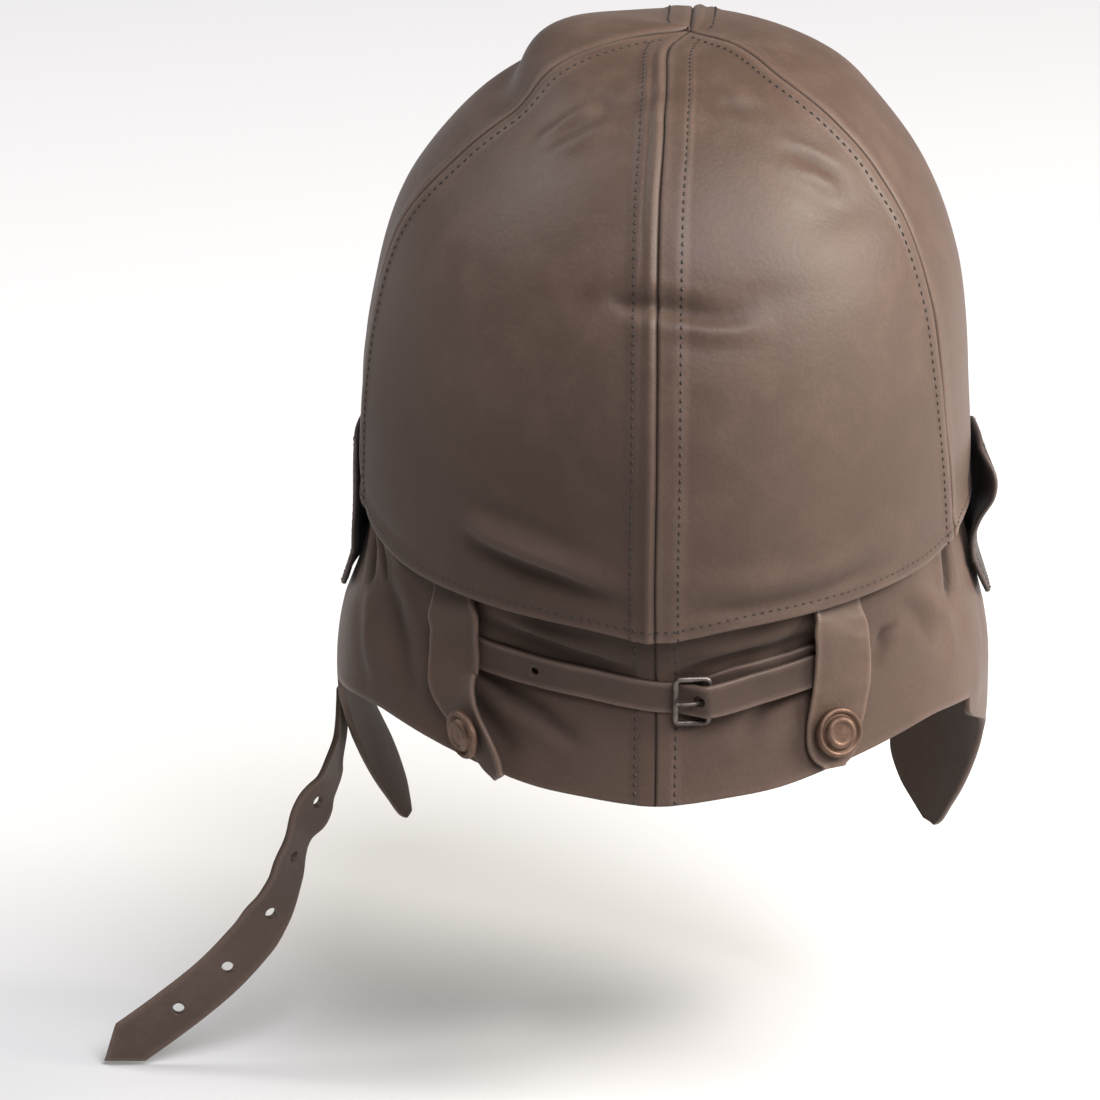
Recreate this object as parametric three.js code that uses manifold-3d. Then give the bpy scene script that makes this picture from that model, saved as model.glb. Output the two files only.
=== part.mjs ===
import * as THREE from "three";
import { mergeVertices } from "three/addons/utils/BufferGeometryUtils.js";
import ManifoldModule from "manifold-3d";

// Leather flying helmet, filled out as if worn. The face looks towards -Y, the nape towards +Y,
// +X is the wearer's left and +Z is up. The origin is the inside of the crown's top.

// Driving sizes, in millimetres
const CROWN_HEIGHT = 148;
const HALF_WIDTH = 88;
const BACK_LENGTH = 103;
const FRONT_LENGTH = 100;
const LEAN = 6.5;
const WALL = 2;
const NECK_DEPTH = 53;
const SEAM_GAP = 0.3;
const STRAP_WIDTH = 9.2;
const STRAP_THICKNESS = 1.4;
const TAB_WIDTH = 17;
const TAB_THICKNESS = 1.5;
const CHIN_WIDTH = 15;
const CHIN_THICKNESS = 1.9;
const HOLE_DIAMETER = 3.6;
const CAP_DIAMETER = 14.5;
const CAP_HEIGHT = 3.4;
const BUCKLE_WIDTH = 11;
const BUCKLE_HEIGHT = 15.3;
const BUCKLE_WIRE = 1.7;
const COVER_HEIGHT = 45;
const COVER_LENGTH = 40;
const CLEAR = 0.35;
const CAP_GAP = 1.15;

// Shares: place of the cap along its tab, tuck of the neck under the lip, open top of the panels
const CAP_AT = 0.82;
const TUCK = 0.15;
const TOP_RADIUS_SHARE = 0.006;

const DEGREE = Math.PI / 180;

// Crown sections, from below the lip to the top. Columns: rise along the wall, height as a share of
// the crown height, then half width to the left and right, and length to the back and front, each as
// a share of its named size, and lean as a share of LEAN.
const CROWN = [
  { rise: -0.12, up: -0.14, left: 1.0, right: 0.995, back: 0.95, front: 0.99, lean: 0 },
  { rise: 0, up: 0, left: 1.0, right: 0.998, back: 0.968, front: 0.995, lean: 0 },
  { rise: 0.12, up: 0.14, left: 1.005, right: 1.0, back: 0.99, front: 1.0, lean: 0 },
  { rise: 0.24, up: 0.28, left: 1.005, right: 0.99, back: 1.0, front: 0.998, lean: 0.05 },
  { rise: 0.36, up: 0.42, left: 0.992, right: 0.968, back: 0.985, front: 0.985, lean: 0.15 },
  { rise: 0.48, up: 0.56, left: 0.956, right: 0.922, back: 0.935, front: 0.945, lean: 0.3 },
  { rise: 0.6, up: 0.69, left: 0.886, right: 0.838, back: 0.85, front: 0.875, lean: 0.45 },
  { rise: 0.71, up: 0.8, left: 0.765, right: 0.716, back: 0.735, front: 0.775, lean: 0.6 },
  { rise: 0.81, up: 0.89, left: 0.62, right: 0.552, back: 0.59, front: 0.635, lean: 0.75 },
  { rise: 0.895, up: 0.955, left: 0.495, right: 0.365, back: 0.42, front: 0.46, lean: 0.9 },
  { rise: 0.96, up: 0.99, left: 0.25, right: 0.21, back: 0.2, front: 0.21, lean: 1 },
  { rise: 1, up: 1, left: 0.0, right: 0.0, back: 0.0, front: 0.0, lean: 1 },
];

// Lower edge of the crown, and hem of the neck piece, by turn from the centre back. Columns: turn in
// degrees, height of the crown's edge as a share of the crown height, drop of the hem as a share of
// the neck depth, and slack between crown and neck piece in shares of the tab thickness.
const EDGES = [
  { turn: 0, lip: 0, hem: 0.945, slack: 0.25 },
  { turn: 13, lip: 0.02, hem: 0.91, slack: 0.3 },
  { turn: 22, lip: 0.028, hem: 0.88, slack: 1.2 },
  { turn: 38, lip: 0.036, hem: 0.785, slack: 1.75 },
  { turn: 54, lip: 0.042, hem: 0.725, slack: 1.8 },
  { turn: 64, lip: 0.055, hem: 0.75, slack: 1.2 },
  { turn: 74, lip: 0.07, hem: 0.81, slack: 0.4 },
  { turn: 90, lip: 0.08, hem: 0.9, slack: 0.3 },
  { turn: 112, lip: 0.1, hem: 0.9, slack: 0.3 },
  { turn: 126, lip: 0.19, hem: 0.9, slack: 0.3 },
  { turn: 140, lip: 0.34, hem: 0.9, slack: 0.3 },
  { turn: 158, lip: 0.42, hem: 0.9, slack: 0.3 },
  { turn: 180, lip: 0.44, hem: 0.9, slack: 0.3 },
];

// Neck sections below the lip. Columns: drop as a share of the way from lip to hem, then the shares
// of the half width to each side, and of the back and front lengths.
const NECK = [
  { drop: -0.4, left: 0.96, right: 0.96, back: 0.92, front: 0.95 },
  { drop: 0, left: 0.97, right: 0.97, back: 0.92, front: 0.955 },
  { drop: 0.16, left: 0.985, right: 0.985, back: 0.892, front: 0.96 },
  { drop: 0.32, left: 1.005, right: 1.0, back: 0.866, front: 0.965 },
  { drop: 0.46, left: 1.035, right: 1.025, back: 0.856, front: 0.97 },
  { drop: 0.62, left: 1.075, right: 1.05, back: 0.876, front: 0.965 },
  { drop: 0.8, left: 1.095, right: 1.068, back: 0.91, front: 0.95 },
  { drop: 1, left: 1.1, right: 1.07, back: 0.945, front: 0.93 },
  { drop: 1.4, left: 1.08, right: 1.06, back: 0.95, front: 0.9 },
  { drop: 2.2, left: 1.03, right: 1.02, back: 0.95, front: 0.88 },
];

// Seams of the crown. Columns: rise along the wall, turn of the ear-to-ear seam on each side, and
// turn of the centre seam, which bends to the left near the top.
const SEAMS = [
  { rise: -0.12, left: 82, right: 70, centre: 0 },
  { rise: 0.05, left: 81, right: 70, centre: 0 },
  { rise: 0.3, left: 77, right: 66, centre: 0 },
  { rise: 0.55, left: 75, right: 64, centre: 1.4 },
  { rise: 0.72, left: 67, right: 62, centre: 3 },
  { rise: 0.85, left: 60, right: 56, centre: 4.8 },
  { rise: 0.93, left: 60, right: 53, centre: 9 },
  { rise: 1, left: 60, right: 50, centre: 25 },
];

// Outline of the ear flap with its chin tongue, from the top down. Columns: height as a share of the
// neck depth, turn of the rear and front edges, and outward pull of the left tongue's front edge as a
// share of the neck depth; the rear edge above the hem is the side seam.
const EAR_FLAP = [
  { down: 0.0, rear: 81, front: 122, splay: 0 },
  { down: 0.5, rear: 81, front: 123, splay: 0 },
  { down: 0.9, rear: 81, front: 125, splay: 0.04 },
  { down: 1.1, rear: 81, front: 127, splay: 0.12 },
  { down: 1.2, rear: 84.5, front: 128, splay: 0.2 },
  { down: 1.34, rear: 90, front: 129, splay: 0.34 },
  { down: 1.64, rear: 98, front: 132, splay: 0.47 },
  { down: 1.98, rear: 107, front: 134, splay: 0.4 },
  { down: 2.17, rear: 112.5, front: 130.5, splay: 0.26 },
  { down: 2.28, rear: 115.5, front: 125, splay: 0.12 },
  { down: 2.33, rear: 117.5, front: 121.5, splay: 0.05 },
];

// Dents and swellings of the crown. Columns: turn and rise of the middle, reach each way in degrees
// and in rise, and depth inwards in millimetres.
const DENTS = [
  { turn: -2, rise: 0.56, wide: 14, tall: 0.02, deep: 1.8 },
  { turn: 100, rise: 0.925, wide: 30, tall: 0.045, deep: -5 },
  { turn: 95, rise: 0.845, wide: 22, tall: 0.035, deep: 4 },
  { turn: -90, rise: 0.84, wide: 26, tall: 0.05, deep: -3 },
  { turn: 22, rise: 0.14, wide: 13, tall: 0.03, deep: -1.4 },
  { turn: -46, rise: 0.68, wide: 10, tall: 0.03, deep: 1.5 },
];

// Hanging chin strap on the left. Columns: way along as a share of the length, then sideways,
// backwards and downwards from the crown's edge in shares of the strap's length, and roll in degrees.
const CHIN_LENGTH = 142;
const CHIN_ROOT_ACROSS = 0.28;
const CHIN_ROOT_DOWN = 0.6;
const CHIN_PATH = [
  { along: 0.0, side: 0.6835, back: -0.12, down: 0.417, roll: 2 },
  { along: 0.1, side: 0.687, back: -0.095, down: 0.517, roll: 7 },
  { along: 0.165, side: 0.701, back: -0.063, down: 0.576, roll: 18 },
  { along: 0.203, side: 0.714, back: -0.056, down: 0.612, roll: 28 },
  { along: 0.249, side: 0.736, back: -0.042, down: 0.649, roll: 45 },
  { along: 0.293, side: 0.753, back: -0.035, down: 0.69, roll: 48 },
  { along: 0.342, side: 0.775, back: -0.028, down: 0.732, roll: 30 },
  { along: 0.388, side: 0.792, back: -0.021, down: 0.775, roll: 32 },
  { along: 0.433, side: 0.802, back: -0.014, down: 0.818, roll: 38 },
  { along: 0.485, side: 0.821, back: 0.0, down: 0.864, roll: 52 },
  { along: 0.53, side: 0.845, back: 0.007, down: 0.903, roll: 70 },
  { along: 0.58, side: 0.872, back: 0.014, down: 0.944, roll: 78 },
  { along: 0.699, side: 0.952, back: 0.028, down: 1.03, roll: 84 },
  { along: 0.841, side: 1.061, back: 0.035, down: 1.121, roll: 86 },
  { along: 1, side: 1.188, back: 0.042, down: 1.216, roll: 86 },
];
const CHIN_HOLES = [0.25, 0.38, 0.51, 0.66, 0.8];

// Snap tabs from under the lip down. Columns: way along, turn from the centre back, height as a share
// of the neck depth, stand-off from the neck piece in tab thicknesses, and roll about its length in
// degrees.
const TAB_LEFT = [
  { along: 0, turn: 44, down: -0.1, off: 0.08, roll: 0 },
  { along: 0.1, turn: 44, down: 0.0, off: 0.14, roll: 0 },
  { along: 0.22, turn: 42, down: 0.13, off: 1.2, roll: 0 },
  { along: 0.34, turn: 39.6, down: 0.25, off: 1.75, roll: 0 },
  { along: 0.54, turn: 37.4, down: 0.48, off: 1.75, roll: 2 },
  { along: 0.63, turn: 36.4, down: 0.58, off: 2.0, roll: 8 },
  { along: 0.74, turn: 33.4, down: 0.69, off: 2.9, roll: 24 },
  { along: 0.86, turn: 29, down: 0.81, off: 3.9, roll: 36 },
  { along: 1, turn: 25, down: 0.96, off: 3.9, roll: 38 },
];
const TAB_RIGHT = [
  { along: 0, turn: 37, down: -0.1, off: 0.15, roll: 0 },
  { along: 0.1, turn: 37, down: 0.0, off: 0.2, roll: 0 },
  { along: 0.22, turn: 36.2, down: 0.11, off: 1.7, roll: 0 },
  { along: 0.33, turn: 34.6, down: 0.22, off: 3.0, roll: 0 },
  { along: 0.54, turn: 32.8, down: 0.48, off: 3.0, roll: 0 },
  { along: 0.7, turn: 32, down: 0.65, off: 1.6, roll: 0 },
  { along: 0.82, turn: 31.5, down: 0.78, off: 0.55, roll: 0 },
  { along: 1, turn: 31.5, down: 0.985, off: 0.4, roll: 0 },
];

// Nape strap. Columns: way along, turn from the centre back, height as a share of the neck depth, and
// stand-off in strap thicknesses.
const NAPE_LEFT = [
  { along: 0, turn: 43, down: 0.375, off: 0.45 },
  { along: 0.5, turn: 5.5, down: 0.385, off: 0.45 },
  { along: 0.6, turn: -2, down: 0.402, off: 0.4 },
  { along: 0.628, turn: -4.1, down: 0.411, off: 0.5 },
  { along: 0.656, turn: -6.2, down: 0.421, off: 1.9 },
  { along: 0.684, turn: -8.3, down: 0.429, off: 3.7 },
  { along: 0.71, turn: -10.3, down: 0.433, off: 3.55 },
  { along: 0.753, turn: -13.5, down: 0.432, off: 2.7 },
  { along: 0.82, turn: -18.5, down: 0.42, off: 1.9 },
  { along: 1, turn: -32, down: 0.388, off: 1.76 },
];
const NAPE_RIGHT = [
  { along: 0, turn: -8.8, down: 0.41, off: 0.4 },
  { along: 0.2, turn: -13.8, down: 0.38, off: 0.45 },
  { along: 0.5, turn: -22.6, down: 0.358, off: 0.45 },
  { along: 1, turn: -38, down: 0.33, off: 0.45 },
];
const NAPE_HOLES = [0.28];
const NAPE_HOLE = 2.4;
const PRONG_HOLE = 3.8;
const PRONG_AT = 0.67;
const BUCKLE_TURN = -6.3;
const BUCKLE_DOWN = 0.424;
const BUCKLE_TILT = -3;
const PUNCH_LENGTH = 8;
const NAPE_LEFT_STEPS = 44;
const NAPE_RIGHT_STEPS = 14;
const PRONG_DIAMETER = 1.2;

// Prong. Columns: way across in buckle widths, and lift above the frame's back in bar thicknesses
const PRONG = [
  { across: -0.29, lift: 0.5 },
  { across: -0.2, lift: 0.95 },
  { across: -0.06, lift: 1.55 },
  { across: 0.15, lift: 1.75 },
  { across: 0.35, lift: 1.7 },
  { across: 0.5, lift: 1.62 },
];

// Loop of the chin buckle. Columns: way along, and stand-off in walls
const LOOP_TURN = 118;
const LOOP_TOP = 1.42;
const LOOP_DROP = 0.26;
const CHIN_WIRE = 2.2;
const LOOP = [
  { along: 0, off: 0.2 },
  { along: 0.5, off: 0.25 },
  { along: 0.75, off: 1.4 },
  { along: 1, off: 1.7 },
];
const CHIN_TIP = 0.93;
const COVER_TURN = 82;
const COVER_TOP = 0.6;

// Stand-off of the ear covers along their height, at the rear edge on each side and at the front
// edge, in walls.
const COVER = [
  { along: 0, left: 0.1, right: 1.2, front: 0.3 },
  { along: 0.14, left: 0.2, right: 3.3, front: 0.5 },
  { along: 0.3, left: 0.4, right: 3.2, front: 0.5 },
  { along: 0.46, left: 0.7, right: 1.2, front: 0.4 },
  { along: 0.6, left: 1.0, right: 0.3, front: 0.3 },
  { along: 0.8, left: 1.1, right: 0.8, front: 0.2 },
  { along: 1, left: 0.9, right: 1.4, front: 0.2 },
];

// Snap cap: a rolled rim around a domed middle. Columns: shares of the cap's radius and of its height.
const CAP_PROFILE = [
  { out: 0, up: -0.22 },
  { out: 0.3, up: -0.22 },
  { out: 0.3, up: 0 },
  { out: 0.82, up: 0 },
  { out: 1, up: 0.3 },
  { out: 0.97, up: 0.62 },
  { out: 0.86, up: 0.72 },
  { out: 0.74, up: 0.6 },
  { out: 0.6, up: 0.95 },
  { out: 0.3, up: 1 },
  { out: 0, up: 1 },
];

// Smooth value of one column of a table at x, held at the first and last rows
function read(table, key, column, x) {
  const last = table.length - 1;
  if (x <= table[0][key]) return table[0][column];
  if (x >= table[last][key]) return table[last][column];
  const slope = (i) => {
    if (table === EDGES && (i === 0 || i === last)) return 0;
    const a = table[Math.max(0, i - 1)];
    const b = table[Math.min(last, i + 1)];
    return (b[column] - a[column]) / (b[key] - a[key]);
  };
  let i = 0;
  while (x > table[i + 1][key]) i++;
  const span = table[i + 1][key] - table[i][key];
  const t = (x - table[i][key]) / span;
  const t2 = t * t;
  const t3 = t2 * t;
  return (
    (2 * t3 - 3 * t2 + 1) * table[i][column] +
    (t3 - 2 * t2 + t) * span * slope(i) +
    (3 * t2 - 2 * t3) * table[i + 1][column] +
    (t3 - t2) * span * slope(i + 1)
  );
}

function smooth(a, b, x) {
  const t = Math.min(1, Math.max(0, (x - a) / (b - a)));
  return t * t * (3 - 2 * t);
}

// Shares of a section row, turned into a point of its outline
function outline(section, turn, z, lean) {
  const angle = turn * DEGREE;
  const side = HALF_WIDTH * (turn > 0 ? section.left : section.right);
  const length = Math.cos(angle) > 0 ? BACK_LENGTH * section.back : FRONT_LENGTH * section.front;
  return new THREE.Vector3(side * Math.sin(angle) - LEAN * lean, length * Math.cos(angle), z);
}

function crownRow(rise) {
  const row = {};
  for (const column of ["up", "left", "right", "back", "front", "lean"]) {
    row[column] = read(CROWN, "rise", column, rise);
  }
  return row;
}

// Dents of the crown as a distance inwards
function dent(turn, rise) {
  let deep = 0;
  for (const d of DENTS) {
    const a = (turn - d.turn) / d.wide;
    const b = (rise - d.rise) / d.tall;
    deep += d.deep * Math.exp(-(a * a + b * b) / 2);
  }
  return deep;
}

// Point of the crown's outer face
function crown(turn, rise) {
  const row = crownRow(rise);
  const point = outline(row, turn, row.up * CROWN_HEIGHT, row.lean);
  const inward = point.clone();
  inward.z = Math.max(0, point.z - CROWN_HEIGHT * 0.4);
  return point.addScaledVector(inward.normalize(), -dent(turn, rise));
}

// Rise of the crown wall at a height
function riseAt(z) {
  let low = -0.12;
  let high = 1;
  for (let i = 0; i < 26; i++) {
    const middle = (low + high) / 2;
    if (crownRow(middle).up * CROWN_HEIGHT < z) low = middle;
    else high = middle;
  }
  return (low + high) / 2;
}

const lip = (turn) => CROWN_HEIGHT * read(EDGES, "turn", "lip", Math.abs(turn));
const hem = (turn) => -NECK_DEPTH * read(EDGES, "turn", "hem", Math.abs(turn));
const slack = (turn) => TAB_THICKNESS * read(EDGES, "turn", "slack", Math.abs(turn)) + CLEAR;

// Point of the neck piece's outer face: under the crown near the lip, then its own sections
function neck(turn, z, off = 0) {
  const top = lip(turn);
  const drop = (top - z) / (top - hem(turn));
  const own = {};
  for (const column of ["left", "right", "back", "front"]) {
    own[column] = read(NECK, "drop", column, drop);
  }
  const below = outline(own, turn, z, 0);
  const above = crown(turn, riseAt(z));
  above.z = z;
  const angle = turn * DEGREE;
  const away = new THREE.Vector3(Math.sin(angle) / HALF_WIDTH, Math.cos(angle) / BACK_LENGTH, 0);
  away.normalize();
  above.addScaledVector(away, -(WALL + slack(turn)));
  const blend = smooth(0.02, 0.3, drop);
  return above.lerp(below, blend).addScaledVector(away, off);
}

// Height in the neck piece from a share of its depth below the local lip
const neckHeight = (turn, down) => lip(turn) + (hem(turn) - lip(turn)) * down;

// Face normal by small steps, pointing away from the axis of the helmet
function normalOf(face, u, v) {
  const step = 0.004;
  const along = face(Math.min(1, u + step), v).sub(face(Math.max(0, u - step), v));
  const down = face(u, Math.min(1, v + step)).sub(face(u, Math.max(0, v - step)));
  const normal = along.cross(down).normalize();
  const away = face(u, v);
  away.z = Math.max(0, away.z - CROWN_HEIGHT * 0.4);
  return normal.dot(away) < 0 ? normal.negate() : normal;
}

// Closed sheet between an outer face and the same face moved inwards by its thickness
function sheet(face, thickness, columns, rows, back) {
  const points = [];
  const grid = (depth) => {
    for (let j = 0; j <= rows; j++) {
      for (let i = 0; i <= columns; i++) {
        const u = i / columns;
        const v = j / rows;
        const point = depth && back ? back(u, v) : face(u, v);
        if (depth && !back) point.addScaledVector(normalOf(face, u, v), -depth);
        points.push(point);
      }
    }
  };
  grid(0);
  grid(thickness || 1);
  const wide = columns + 1;
  const layer = wide * (rows + 1);
  const faces = [];
  const quad = (a, b, c, d) => faces.push(a, b, c, a, c, d);
  for (let j = 0; j < rows; j++) {
    for (let i = 0; i < columns; i++) {
      const a = j * wide + i;
      quad(a, a + 1, a + 1 + wide, a + wide);
      quad(layer + a, layer + a + wide, layer + a + 1 + wide, layer + a + 1);
    }
  }
  for (let i = 0; i < columns; i++) {
    const low = rows * wide + i;
    quad(i + 1, i, i + layer, i + 1 + layer);
    quad(low, low + 1, low + 1 + layer, low + layer);
  }
  for (let j = 0; j < rows; j++) {
    const left = j * wide;
    const right = left + columns;
    quad(left, left + wide, left + wide + layer, left + layer);
    quad(right + wide, right, right + layer, right + wide + layer);
  }
  const flat = points.flatMap((p) => [p.x, p.y, p.z]);
  const geometry = new THREE.BufferGeometry();
  geometry.setAttribute("position", new THREE.Float32BufferAttribute(flat, 3));
  geometry.setIndex(faces);
  return outward(geometry);
}

// Turns a closed geometry's faces outwards
function outward(geometry) {
  const at = geometry.getAttribute("position");
  const index = geometry.index.array;
  const corner = (i) => new THREE.Vector3().fromBufferAttribute(at, index[i]);
  let volume = 0;
  for (let i = 0; i < index.length; i += 3) {
    volume += corner(i).dot(corner(i + 1).cross(corner(i + 2)));
  }
  if (volume < 0) {
    for (let i = 0; i < index.length; i += 3) {
      const swap = index[i];
      index[i] = index[i + 1];
      index[i + 1] = swap;
    }
  }
  return geometry;
}

// Solids for joins and cuts
const wasm = await ManifoldModule();
wasm.setup();

function toSolid(geometry) {
  const bare = new THREE.BufferGeometry();
  const loose = geometry.index ? geometry.toNonIndexed() : geometry;
  bare.setAttribute("position", loose.getAttribute("position"));
  const merged = mergeVertices(bare, 1e-4);
  return new wasm.Manifold(
    new wasm.Mesh({
      numProp: 3,
      vertProperties: merged.getAttribute("position").array,
      triVerts: new Uint32Array(merged.index.array),
    }),
  );
}

function toGeometry(solid) {
  const mesh = solid.getMesh();
  const geometry = new THREE.BufferGeometry();
  geometry.setAttribute("position", new THREE.BufferAttribute(mesh.vertProperties, mesh.numProp));
  geometry.setIndex(new THREE.BufferAttribute(mesh.triVerts, 1));
  return geometry;
}

const cut = (geometry, tools) =>
  toGeometry(tools.reduce((solid, tool) => solid.subtract(toSolid(tool)), toSolid(geometry)));

// Local frame of a face point: x along the width, y along the length, z away from the helmet
function frameOf(face, u, v) {
  const step = 0.01;
  const place = face(u, v);
  const out = normalOf(face, u, v);
  const down = face(u, Math.min(1, v + step)).sub(face(u, Math.max(0, v - step)));
  const y = down.normalize();
  const x = y.clone().cross(out).normalize();
  return new THREE.Matrix4().makeBasis(x, out.clone().cross(x), out).setPosition(place);
}

const helmet = new THREE.Group();
helmet.name = "flying_helmet";
helmet.position.z = WALL - CROWN_HEIGHT;

const leather = { color: 0x6b5f58, roughness: 0.52, metalness: 0 };
const shaded = { color: 0x54473f, roughness: 0.58, metalness: 0 };
const strapping = { color: 0x3d322d, roughness: 0.55, metalness: 0 };
const brass = { color: 0x5e4c40, roughness: 0.4, metalness: 0.75 };
const steel = { color: 0x8c867f, roughness: 0.35, metalness: 0.9 };

function add(name, geometry, look) {
  const material = new THREE.MeshStandardMaterial(look);
  const mesh = new THREE.Mesh(geometry, material);
  mesh.name = name;
  helmet.add(mesh);
  return mesh;
}

// Crown panels
function gore(from, to) {
  const seam = SEAM_GAP / 2;
  return (u, v) => {
    const rough = from(0.5) + (to(0.5) - from(0.5)) * u;
    const start = riseAt(lip(rough));
    const topRise = 1 - TOP_RADIUS_SHARE;
    const rise = topRise + (start - topRise) * Math.pow(v, 0.92);
    const row = crownRow(rise);
    const radius = HALF_WIDTH * Math.min(row.left, row.right);
    const wide = 1 + smooth(0.86, 0.97, rise);
    const inset = (wide * seam) / Math.max(radius * DEGREE, seam / 12);
    const a = from(rise) + inset;
    const b = to(rise) - inset;
    return crown(a + (b - a) * u, rise);
  };
}
const seamLeft = (rise) => read(SEAMS, "rise", "left", rise);
const seamRight = (rise) => -read(SEAMS, "rise", "right", rise);
const seamCentre = (rise) => read(SEAMS, "rise", "centre", rise);
add("crown_back_left", sheet(gore(seamCentre, seamLeft), WALL, 12, 16), leather);
add("crown_back_right", sheet(gore(seamRight, seamCentre), WALL, 12, 16), leather);
add("crown_front_left", sheet(gore(seamLeft, () => 180), WALL, 12, 16), leather);
add("crown_front_right", sheet(gore(() => -180, seamRight), WALL, 12, 16), leather);

// Neck pieces from the centre back to the side seams
function neckPiece(side) {
  return (u, v) => {
    const seam = side > 0 ? read(SEAMS, "rise", "left", 0) : read(SEAMS, "rise", "right", 0);
    const inset = SEAM_GAP / 2 / (HALF_WIDTH * DEGREE);
    const turn = side * (inset + (seam - 2 * inset) * u);
    return neck(turn, neckHeight(turn, -TUCK + (1 + TUCK) * v));
  };
}
add("neck_left", sheet(neckPiece(1), WALL, 18, 9), leather);
add("neck_right", sheet(neckPiece(-1), WALL, 18, 9), leather);

// Ear flaps with their chin tongues
function earFlap(side) {
  return (u, v) => {
    const top = -TUCK;
    const lowest = EAR_FLAP[EAR_FLAP.length - 1].down;
    const level = top + (lowest - top) * v;
    const seam = side > 0 ? read(SEAMS, "rise", "left", 0) : read(SEAMS, "rise", "right", 0);
    const inset = SEAM_GAP / 2 / (HALF_WIDTH * DEGREE);
    const shift = (seam - EAR_FLAP[0].rear) * smooth(1.5, 1.02, level);
    const rear = Math.max(seam, read(EAR_FLAP, "down", "rear", level) + shift) + inset;
    const front = read(EAR_FLAP, "down", "front", level);
    const turn = side * (rear + (front - rear) * u);
    const ease = smooth(0.35, 0, level);
    const start = lip(turn) * ease + lip(90) * (1 - ease);
    const point = neck(turn, start - level * NECK_DEPTH);
    if (side > 0) point.x += NECK_DEPTH * read(EAR_FLAP, "down", "splay", level) * u * u;
    return point;
  };
}
add("ear_flap_left", sheet(earFlap(1), WALL, 8, 17), leather);
add("ear_flap_right", sheet(earFlap(-1), WALL, 8, 17), leather);

// Strip laid on a base surface along a path of turn and height, with its own stand-off. The outline
// function gives the share of the full width at each share of the length.
function strip(base, place, width, outlineAt) {
  const middle = (v) => {
    const at = place(v);
    const scale = base(at.turn + 0.5, at.z, 0).distanceTo(base(at.turn - 0.5, at.z, 0));
    return { ...at, scale };
  };
  return (u, v) => {
    const step = 0.01;
    const at = middle(v);
    const before = middle(Math.max(0, v - step));
    const after = middle(Math.min(1, v + step));
    const run = (after.turn - before.turn) * at.scale;
    const fall = after.z - before.z;
    const length = Math.hypot(run, fall);
    const roll = (at.roll ?? 0) * DEGREE;
    const wide = (u - 0.5) * width * outlineAt(v);
    const across = wide * Math.cos(roll);
    const turn = at.turn + (across * fall) / length / at.scale;
    const z = at.z - (across * run) / length;
    return base(turn, z, at.off + wide * Math.sin(roll));
  };
}
const roundEnd = (from, least) => (v) => {
  const t = Math.max(0, (v - from) / (1 - from));
  return Math.max(least, Math.sqrt(Math.max(0, 1 - t * t)));
};

// Snap tabs
function tabPlace(table, side) {
  return (v) => {
    const turn = side * read(table, "along", "turn", v);
    return {
      turn,
      z: neckHeight(turn, read(table, "along", "down", v)),
      off: TAB_THICKNESS * (1 + read(table, "along", "off", v)),
      roll: read(table, "along", "roll", v),
    };
  };
}
const tabLeft = strip(neck, tabPlace(TAB_LEFT, 1), TAB_WIDTH, roundEnd(0.84, 0.42));
const tabRight = strip(neck, tabPlace(TAB_RIGHT, -1), TAB_WIDTH, roundEnd(0.84, 0.42));
add("snap_tab_left", sheet(tabLeft, TAB_THICKNESS, 3, 18), shaded);
add("snap_tab_right", sheet(tabRight, TAB_THICKNESS, 3, 18), shaded);

// Snap caps
function cap(face, u, v, gap) {
  const radius = CAP_DIAMETER / 2;
  const profile = CAP_PROFILE.map((row) => new THREE.Vector2(row.out * radius, row.up * CAP_HEIGHT));
  const geometry = new THREE.LatheGeometry(profile, 16);
  geometry.rotateX(Math.PI / 2);
  geometry.translate(0, 0, gap);
  geometry.applyMatrix4(frameOf(face, u, v));
  return geometry;
}
add("snap_cap_left", cap(tabLeft, 0.5, CAP_AT, CAP_GAP), brass);
add("snap_cap_right", cap(tabRight, 0.5, CAP_AT, CAP_GAP), brass);

// Nape strap: the left part runs through the buckle and lies over the right part
function napePlace(table) {
  return (v) => {
    const turn = read(table, "along", "turn", v);
    return {
      turn,
      z: neckHeight(turn, read(table, "along", "down", v)),
      off: STRAP_THICKNESS * (1 + read(table, "along", "off", v)),
    };
  };
}
const napeLeft = strip(neck, napePlace(NAPE_LEFT), STRAP_WIDTH, (v) => (v > 0.97 ? 0.6 : 1));
const napeRight = strip(neck, napePlace(NAPE_RIGHT), STRAP_WIDTH, () => 1);
function peg(face, u, v, diameter, length) {
  const geometry = new THREE.CylinderGeometry(diameter / 2, diameter / 2, length, 12);
  geometry.rotateX(Math.PI / 2);
  geometry.applyMatrix4(frameOf(face, u, v));
  return geometry;
}
const napeHoles = NAPE_HOLES.map((v) => peg(napeLeft, 0.5, v, NAPE_HOLE, PUNCH_LENGTH));
napeHoles.push(peg(napeLeft, 0.5, PRONG_AT, PRONG_HOLE, PUNCH_LENGTH));
add("nape_strap_left", cut(sheet(napeLeft, STRAP_THICKNESS, 1, NAPE_LEFT_STEPS), napeHoles), strapping);
add("nape_strap_right", sheet(napeRight, STRAP_THICKNESS, 1, NAPE_RIGHT_STEPS), strapping);

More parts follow.
